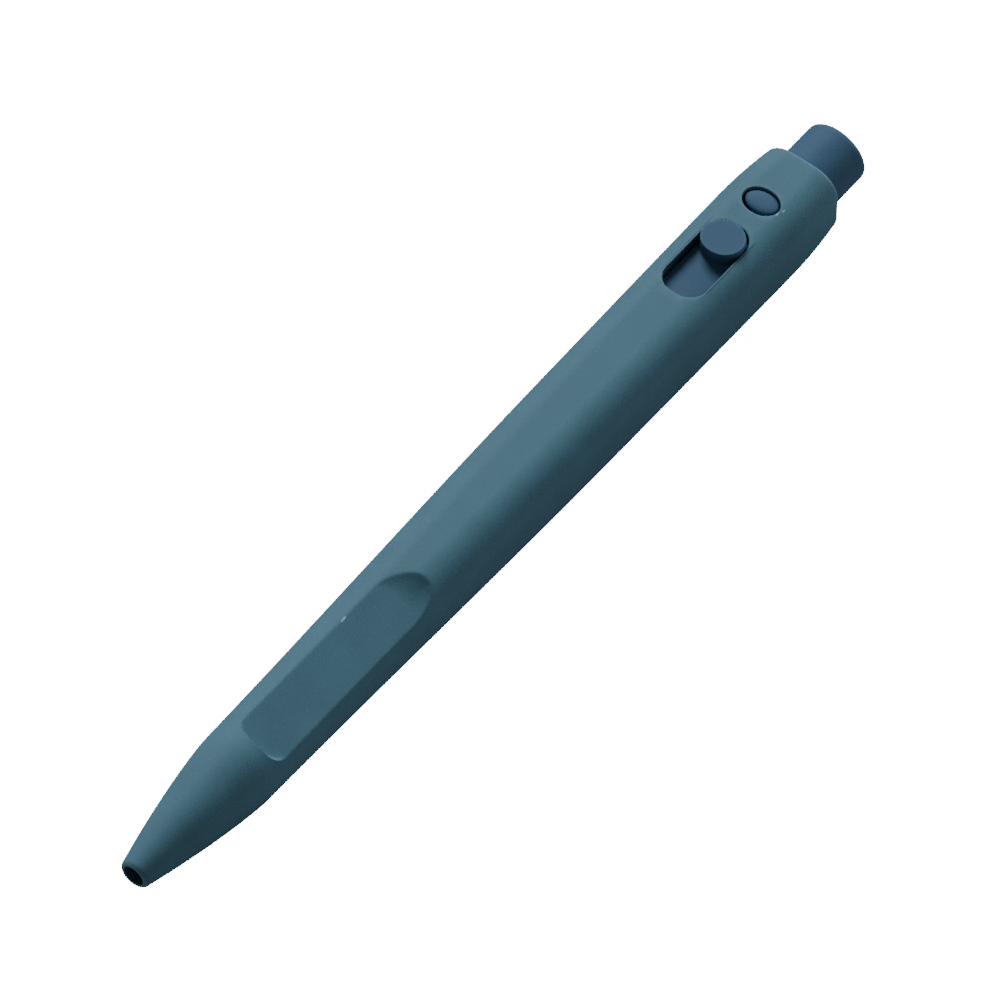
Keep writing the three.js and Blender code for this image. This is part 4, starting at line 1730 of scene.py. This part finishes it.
def coil_tree() -> ShapeTree:
    """Makes a wound spring whose end turns lie close together.

    Returns:
        The tree.
    """
    numbers = ["Start", "Length", "Radius", "Wire", "Turns", "End Turns", "Height"]
    tree = ShapeTree("wound_spring", [*((name, "Float") for name in numbers), ("Material", "Material")])
    bench = tree.bench
    line = bench.add("GeometryNodeCurvePrimitiveLine")
    line.inputs["End"].default_value = (1, 0, 0)
    fine = bench.add("GeometryNodeResampleCurve")
    bench.join(line.outputs[0], fine.inputs["Curve"])
    fine.inputs["Count"].default_value = COIL_STEPS
    share = bench.add("GeometryNodeSplineParameter").outputs["Factor"]
    turn = bench.calculate("MULTIPLY", share, tree.value("Turns"))
    angle = bench.calculate("MULTIPLY", turn, 2 * math.pi)
    ends, wire = tree.value("End Turns"), tree.value("Wire")
    free = bench.calculate("SUBTRACT", tree.value("Turns"), bench.calculate("MULTIPLY", ends, 2.0))
    tight = bench.calculate("MULTIPLY", wire, CLOSED_PITCH)
    closed = bench.calculate("MULTIPLY", bench.calculate("MULTIPLY", tight, ends), 2.0)
    pitch = bench.calculate("DIVIDE", bench.calculate("SUBTRACT", tree.value("Length"), closed), free)
    first = bench.calculate("MULTIPLY", bench.calculate("MINIMUM", turn, ends), tight)
    opened = bench.calculate("MAXIMUM", bench.calculate("SUBTRACT", turn, ends), 0.0)
    middle = bench.calculate("MULTIPLY", bench.calculate("MINIMUM", opened, free), pitch)
    late = bench.calculate("SUBTRACT", opened, free)
    last = bench.calculate("MULTIPLY", bench.calculate("MAXIMUM", late, 0.0), tight)
    along = bench.calculate("ADD", bench.calculate("ADD", first, middle), last)
    station = bench.calculate("ADD", along, tree.value("Start"))
    across = bench.calculate("MULTIPLY", bench.calculate("COSINE", angle), tree.value("Radius"))
    up = bench.calculate("MULTIPLY", bench.calculate("SINE", angle), tree.value("Radius"))
    place = bench.combine(station, across, bench.calculate("ADD", up, tree.value("Height")))
    move = bench.add("GeometryNodeSetPosition")
    bench.join(fine.outputs[0], move.inputs["Geometry"])
    bench.join(place, move.inputs["Position"])
    ring = bench.add("GeometryNodeCurvePrimitiveCircle")
    ring.inputs["Resolution"].default_value = WIRE_SIDES
    bench.join(bench.calculate("MULTIPLY", wire, 0.5), ring.inputs["Radius"])
    sweep = bench.add("GeometryNodeCurveToMesh")
    bench.join(move.outputs[0], sweep.inputs["Curve"])
    bench.join(ring.outputs[0], sweep.inputs["Profile Curve"])
    sweep.inputs["Fill Caps"].default_value = True
    tree.close(sweep.outputs[0])
    return tree


def notch_tree() -> ShapeTree:
    """Makes equal notches round the rear rim of a turned piece.

    Returns:
        The tree.
    """
    inputs = [
        ("Station", "Float"), ("Radius", "Float"), ("Height", "Float"),
        ("Size", "Vector"), ("Count", "Int"), ("Material", "Material"),
    ]
    tree = ShapeTree("rim_notches", inputs)
    bench = tree.bench
    circle = bench.add("GeometryNodeMeshCircle")
    bench.join(tree.value("Count"), circle.inputs["Vertices"])
    bench.join(tree.value("Radius"), circle.inputs["Radius"])
    upright = bench.add("GeometryNodeTransform")
    bench.join(circle.outputs[0], upright.inputs["Geometry"])
    upright.inputs["Rotation"].default_value = (0, math.pi / 2, 0)
    centre = bench.combine(tree.value("Station"), 0.0, tree.value("Height"))
    bench.join(centre, upright.inputs["Translation"])
    cutter = bench.add("GeometryNodeMeshCube")
    bench.join(tree.value("Size"), cutter.inputs["Size"])
    place = bench.add("GeometryNodeInputPosition").outputs[0]
    away = bench.measure("SUBTRACT", place, centre)
    turn = bench.add("FunctionNodeAlignRotationToVector", axis="Z")
    bench.join(away.outputs[0], turn.inputs["Vector"])
    spread = bench.add("GeometryNodeInstanceOnPoints")
    bench.join(upright.outputs[0], spread.inputs["Points"])
    bench.join(cutter.outputs["Mesh"], spread.inputs["Instance"])
    bench.join(turn.outputs[0], spread.inputs["Rotation"])
    real = bench.add("GeometryNodeRealizeInstances")
    bench.join(spread.outputs[0], real.inputs[0])
    cut = bench.add("GeometryNodeMeshBoolean", operation="DIFFERENCE", solver="EXACT")
    bench.join(tree.value("Geometry"), cut.inputs["Mesh 1"])
    bench.join(real.outputs[0], cut.inputs["Mesh 2"])
    tree.close(cut.outputs[0])
    return tree


# Refill and spring


@dataclass
class Refill:
    """The refill: drawn tube, end plug, turned tip, ball and ink."""

    sizes: SharedSizes
    tip_radius: float = 1.17
    tip_length: float = 8.0
    cone_length: float = 2.6
    flange_length: float = 0.5
    groove_lead: float = 1.2
    groove_depth: float = 0.06
    groove_floor: float = 0.2
    groove_slope: float = 0.1
    shank_radius: float = 0.95
    shank_length: float = 5.0
    lip_radius: float = 0.56
    channel: float = 0.2
    ball_shows: float = 0.28
    ball_gap: float = 0.03
    plug_head: float = 4.6
    plug_shank: float = 4.0
    plug_vent: float = 0.4
    plug_gap: float = 0.1
    notch_depth: float = 0.5
    notch_width: float = 0.9
    notch_length: float = 2.2
    notch_count: int = 6
    neck_lead: float = 0.4
    tube_segments: int = 72
    tip_segments: int = 64
    ball_segments: int = 48

    def build_tube(self, finishes: Finishes) -> bpy.types.Object:
        """Builds the drawn tube with its neck and shoulder.

        Args:
            finishes: The pen's finishes.

        Returns:
            The tube.
        """
        s = self.sizes
        front = s.tip_front + self.tip_length + self.flange_length
        rear = s.refill_rear - self.plug_head
        inner = s.refill_radius - s.refill_wall
        profile = softened([
            (front, s.neck_bore, 0),
            (front, s.neck_radius, 0.08),
            (s.neck_end, s.neck_radius, 0.3),
            (s.neck_end + s.shoulder_length, s.refill_radius, 0.5),
            (rear, s.refill_radius, 0.08),
            (rear, inner, 0.05),
            (s.neck_end + s.shoulder_length + s.refill_wall, inner, 0.4),
            (s.neck_end + s.refill_wall, s.neck_bore, 0.2),
            (front + self.neck_lead, s.neck_bore, 0),
        ])
        piece = turned("refill_tube_drawn", profile, self.tube_segments, joined=True)
        dress(piece, finishes.tube)
        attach(piece, Body.PLUNGER.value)
        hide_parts("refill_tube")
        report(piece, "drawn tube with neck and shoulder")
        return piece

    def build_plug(self, finishes: Finishes) -> bpy.types.Object:
        """Builds the notched end plug with the notches repeated by nodes.

        Args:
            finishes: The pen's finishes.

        Returns:
            The plug.
        """
        s = self.sizes
        head = s.refill_rear - self.plug_head
        shank = s.refill_radius - s.refill_wall - self.plug_gap
        profile = softened([
            (head - self.plug_shank, self.plug_vent, 0),
            (head - self.plug_shank, shank, 0.3),
            (head, shank, 0.05),
            (head, s.refill_radius, 0.1),
            (s.refill_rear - self.notch_depth, s.refill_radius, 0.15),
            (s.refill_rear, s.refill_radius - self.notch_depth, 0.15),
            (s.refill_rear, self.plug_vent, 0.05),
            (head - self.plug_shank + 0.1, self.plug_vent, 0),
        ])
        blank = turned("plug_blank", profile, self.tube_segments, joined=True)
        values = {
            "Station": row_point(s.refill_rear, 0, 0)[0],
            "Radius": s.refill_radius * MM,
            "Height": AXIS_HEIGHT * MM,
            "Size": (self.notch_length * 2 * MM, self.notch_width * MM, self.notch_depth * 2 * MM),
            "Count": self.notch_count,
            "Material": finishes.plug,
        }
        piece = notch_tree().run("refill_plug_notched", blank.data, values)
        bpy.data.objects.remove(blank)
        dress(piece, finishes.plug)
        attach(piece, Body.PLUNGER.value)
        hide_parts("refill_end_plug")
        report(piece, "plug with six notches")
        return piece

    def build_tip(self, finishes: Finishes) -> bpy.types.Object:
        """Builds the turned tip, whose lip is rolled over the ball.

        Args:
            finishes: The pen's finishes.

        Returns:
            The tip.
        """
        s = self.sizes
        lip, centre = s.tip_front + self.ball_shows, s.tip_front + s.ball_radius
        seat = s.ball_radius + self.ball_gap
        first, last = math.asin(self.channel / seat), math.acos((lip - centre) / seat)
        socket = [(centre + seat * math.cos(a), seat * math.sin(a)) for a in np.linspace(first, last, 10)]
        flange = s.tip_front + self.tip_length
        shank = flange + self.flange_length
        cone_end = s.tip_front + self.cone_length
        groove = cone_end + self.groove_lead + self.groove_slope
        groove_end = groove + self.groove_floor
        outside = softened([
            (lip, self.lip_radius, 0),
            (cone_end, self.tip_radius, 0.4),
            (groove - self.groove_slope, self.tip_radius, 0.0),
            (groove, self.tip_radius - self.groove_depth, 0.0),
            (groove_end, self.tip_radius - self.groove_depth, 0.0),
            (groove_end + self.groove_slope, self.tip_radius, 0.0),
            (flange, self.tip_radius, 0.06),
            (flange, s.neck_radius, 0.06),
            (shank, s.neck_radius, 0.06),
            (shank, self.shank_radius, 0.04),
            (shank + self.shank_length, self.shank_radius, 0.15),
            (shank + self.shank_length, self.channel, 0),
        ])
        piece = turned("refill_tip_turned", [*socket, *outside], self.tip_segments, joined=True)
        dress(piece, finishes.brass)
        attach(piece, Body.PLUNGER.value)
        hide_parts("refill_tip")
        report(piece, "cone, flange and shank")
        return piece

    def build_ball(self, finishes: Finishes) -> bpy.types.Object:
        """Builds the writing ball from pole to pole.

        Args:
            finishes: The pen's finishes.

        Returns:
            The ball.
        """
        r, centre = self.sizes.ball_radius, self.sizes.tip_front + self.sizes.ball_radius
        angles = np.linspace(0, math.pi, 33)
        arc = [(centre - r * math.cos(a), r * math.sin(a)) for a in angles]
        piece = turned("writing_ball_ground", arc, self.ball_segments)
        dress(piece, finishes.carbide)
        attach(piece, Body.BALL.value)
        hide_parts("writing_ball")
        report(piece, "ground ball")
        return piece

    def dress_ink(self, finishes: Finishes) -> None:
        """Gives the ink column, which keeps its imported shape, its material.

        Args:
            finishes: The pen's finishes.
        """
        node = frame["nodes"]["ink_column"]
        dress(node, finishes.ink)
        report(node, "packed shape kept")


@dataclass
class ReturnSpring:
    """The compression spring between the barrel's seat and the refill's shoulder."""

    sizes: SharedSizes
    wire: float = 0.4
    radius: float = 2.15
    turns: float = 12.0
    end_turns: float = 1.1
    gap: float = 0.1

    def build(self, finishes: Finishes) -> bpy.types.Object:
        """Winds the spring by nodes.

        Args:
            finishes: The pen's finishes.

        Returns:
            The spring.
        """
        s = self.sizes
        rise = (self.radius - self.wire / 2 - s.neck_radius) / (s.refill_radius - s.neck_radius)
        start = s.spring_seat + self.wire / 2 + self.gap
        end = s.neck_end + rise * s.shoulder_length - self.wire / 2 - self.gap
        values = {
            "Start": row_point(start, 0, 0)[0],
            "Length": (end - start) * MM,
            "Radius": self.radius * MM,
            "Wire": self.wire * MM,
            "Turns": self.turns,
            "End Turns": self.end_turns,
            "Height": AXIS_HEIGHT * MM,
            "Material": finishes.spring,
        }
        piece = coil_tree().run("return_spring_wound", bpy.data.meshes.new("spring_start"), values)
        dress(piece, finishes.spring)
        first, last = row_point(start - self.wire / 2, 0, 0), row_point(end + self.wire / 2, 0, 0)
        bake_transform(piece)
        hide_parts("return_spring")
        report(piece, "twelve turns with closed ends")
        return piece


# Studio


@dataclass(frozen=True)
class Studio:
    """The pale floor, the soft light and the camera of the photograph's view.

    Attributes:
        azimuth: Where the camera stands round the pen, in degrees, with 0 at -Y.
        elevation: Its height over the floor, in degrees.
        distance: How far it is from the pen's middle, in metres.
        lens: Its focal length in millimetres.
        right: How far it is moved to the right to frame the pen, in metres.
        up: How far it is moved up.
        key_from: Where the key light comes from.
        key_strength: Its strength.
        key_spread: The angle that it fills, in radians.
        fill_from: Where the fill light comes from.
        fill_strength: Its strength.
        fill_spread: The angle that it fills.
        ambient: The light of the surroundings.
        backdrop: How bright the surroundings and the floor look to the camera.
        sensor: The width of the camera's sensor in millimetres.
        floor_half_size: Half the floor's side in metres.
        floor_grey: The floor's grey in the light that it gives back.
        seen_floor_grey: The floor's grey under its glow, to the camera.
    """

    azimuth: float = -51.69
    elevation: float = 54.5
    distance: float = 1.4
    lens: float = 395.0
    right: float = 0.00077
    up: float = 0.00056
    key_from: Place = (0.45, 0.61, 0.65)
    key_strength: float = 2.9
    key_spread: float = math.radians(28)
    fill_from: Place = (0.94, -0.3, 0.15)
    fill_strength: float = 1.5
    fill_spread: float = math.radians(40)
    ambient: float = 0.145
    backdrop: float = 16.0
    sensor: float = 36.0
    floor_half_size: float = 3.0
    floor_grey: float = 0.4
    seen_floor_grey: float = 0.2

    def build(self) -> None:
        """Makes the camera, the light and the floor."""
        self.make_camera()
        self.make_light()
        self.make_floor()

    def make_camera(self) -> None:
        """Sets the camera where the photograph was taken from."""
        turn, lift = math.radians(self.azimuth), math.radians(self.elevation)
        back = Vector((math.sin(turn) * math.cos(lift), -math.cos(turn) * math.cos(lift), math.sin(lift)))
        side = Vector((math.cos(turn), math.sin(turn), 0))
        above = back.cross(side)
        camera = bpy.data.objects.new("camera", bpy.data.cameras.new("camera"))
        bpy.context.scene.collection.objects.link(camera)
        camera.data.sensor_width, camera.data.lens = self.sensor, self.lens
        camera.data.clip_start, camera.data.clip_end = 0.05, 20
        target = Vector((0, 0, AXIS_HEIGHT * MM))
        camera.location = target + back * self.distance + side * self.right + above * self.up
        camera.rotation_mode = "QUATERNION"
        camera.rotation_quaternion = (-back).to_track_quat("-Z", "Y")
        bpy.context.scene.camera = camera

    def make_light(self) -> None:
        """Sets a soft key from above the button end, a low broad fill and a pale backdrop."""
        key = bpy.data.lights.new("key", "SUN")
        key.angle, key.energy = self.key_spread, self.key_strength
        self.place_lamp(key, self.key_from)
        fill = bpy.data.lights.new("fill", "SUN")
        fill.angle, fill.energy = self.fill_spread, self.fill_strength
        self.place_lamp(fill, self.fill_from)
        world = bpy.data.worlds.new("studio")
        world.use_nodes = True
        world.node_tree.nodes.clear()
        bench = NodeBench(world.node_tree)
        choose = bench.add("ShaderNodeMixShader")
        bench.join(bench.add("ShaderNodeLightPath").outputs["Is Camera Ray"], choose.inputs[0])
        for slot, strength in ((1, self.ambient), (2, self.backdrop)):
            sky = bench.add("ShaderNodeBackground")
            sky.inputs["Color"].default_value = (1.0, 1.0, 1.0, 1.0)
            sky.inputs["Strength"].default_value = strength
            bench.join(sky.outputs[0], choose.inputs[slot])
        bench.join(choose.outputs[0], bench.add("ShaderNodeOutputWorld").inputs["Surface"])
        bpy.context.scene.world = world

    def place_lamp(self, light: bpy.types.Light, direction: Place) -> None:
        """Places a light in a direction from the pen and turns it to the pen.

        Args:
            light: The light.
            direction: Where it stands, seen from the pen.
        """
        lamp = bpy.data.objects.new(light.name, light)
        bpy.context.scene.collection.objects.link(lamp)
        towards = Vector(direction).normalized()
        lamp.location = Vector((0, 0, AXIS_HEIGHT * MM)) + towards
        lamp.rotation_mode = "QUATERNION"
        lamp.rotation_quaternion = (-towards).to_track_quat("-Z", "Y")

    def make_floor(self) -> None:
        """Lays a pale floor that is bright to the camera and dim to the pen."""
        size = self.floor_half_size
        mesh = bpy.data.meshes.new("floor")
        corners = [(-size, -size, 0), (size, -size, 0), (size, size, 0), (-size, size, 0)]
        mesh.from_pydata(corners, [], [[0, 1, 2, 3]])
        floor = bpy.data.objects.new("floor", mesh)
        bpy.context.scene.collection.objects.link(floor)
        material = bpy.data.materials.new("pale_floor")
        material.use_nodes = True
        material.node_tree.nodes.clear()
        bench = NodeBench(material.node_tree)
        dim, pale = (bench.add("ShaderNodeBsdfDiffuse") for _ in range(2))
        for floor_shader, grey in ((dim, self.floor_grey), (pale, self.seen_floor_grey)):
            floor_shader.inputs["Color"].default_value = (grey, grey, grey, 1)
        glow = bench.add("ShaderNodeEmission")
        glow.inputs["Strength"].default_value = self.backdrop
        both = bench.add("ShaderNodeAddShader")
        bench.join(pale.outputs[0], both.inputs[0])
        bench.join(glow.outputs[0], both.inputs[1])
        choose = bench.add("ShaderNodeMixShader")
        bench.join(bench.add("ShaderNodeLightPath").outputs["Is Camera Ray"], choose.inputs[0])
        bench.join(dim.outputs[0], choose.inputs[1])
        bench.join(both.outputs[0], choose.inputs[2])
        bench.join(choose.outputs[0], bench.add("ShaderNodeOutputMaterial").inputs["Surface"])
        mesh.materials.append(material)


# Main


def main() -> None:
    """Builds the whole pen in order."""
    logging.basicConfig(level=logging.INFO, format="%(name)s %(message)s")
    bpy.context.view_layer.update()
    Studio().build()
    finishes = Finishes.build()
    sizes = SharedSizes.from_frame()
    Barrel(sizes).build(finishes)
    plunger = Plunger(sizes)
    plunger.build_body(finishes)
    plunger.build_tongue(finishes)
    refill = Refill(sizes)
    refill.build_tube(finishes)
    refill.build_plug(finishes)
    refill.build_tip(finishes)
    refill.build_ball(finishes)
    refill.dress_ink(finishes)
    ReturnSpring(sizes).build(finishes)


if __name__ == "__main__":
    main()
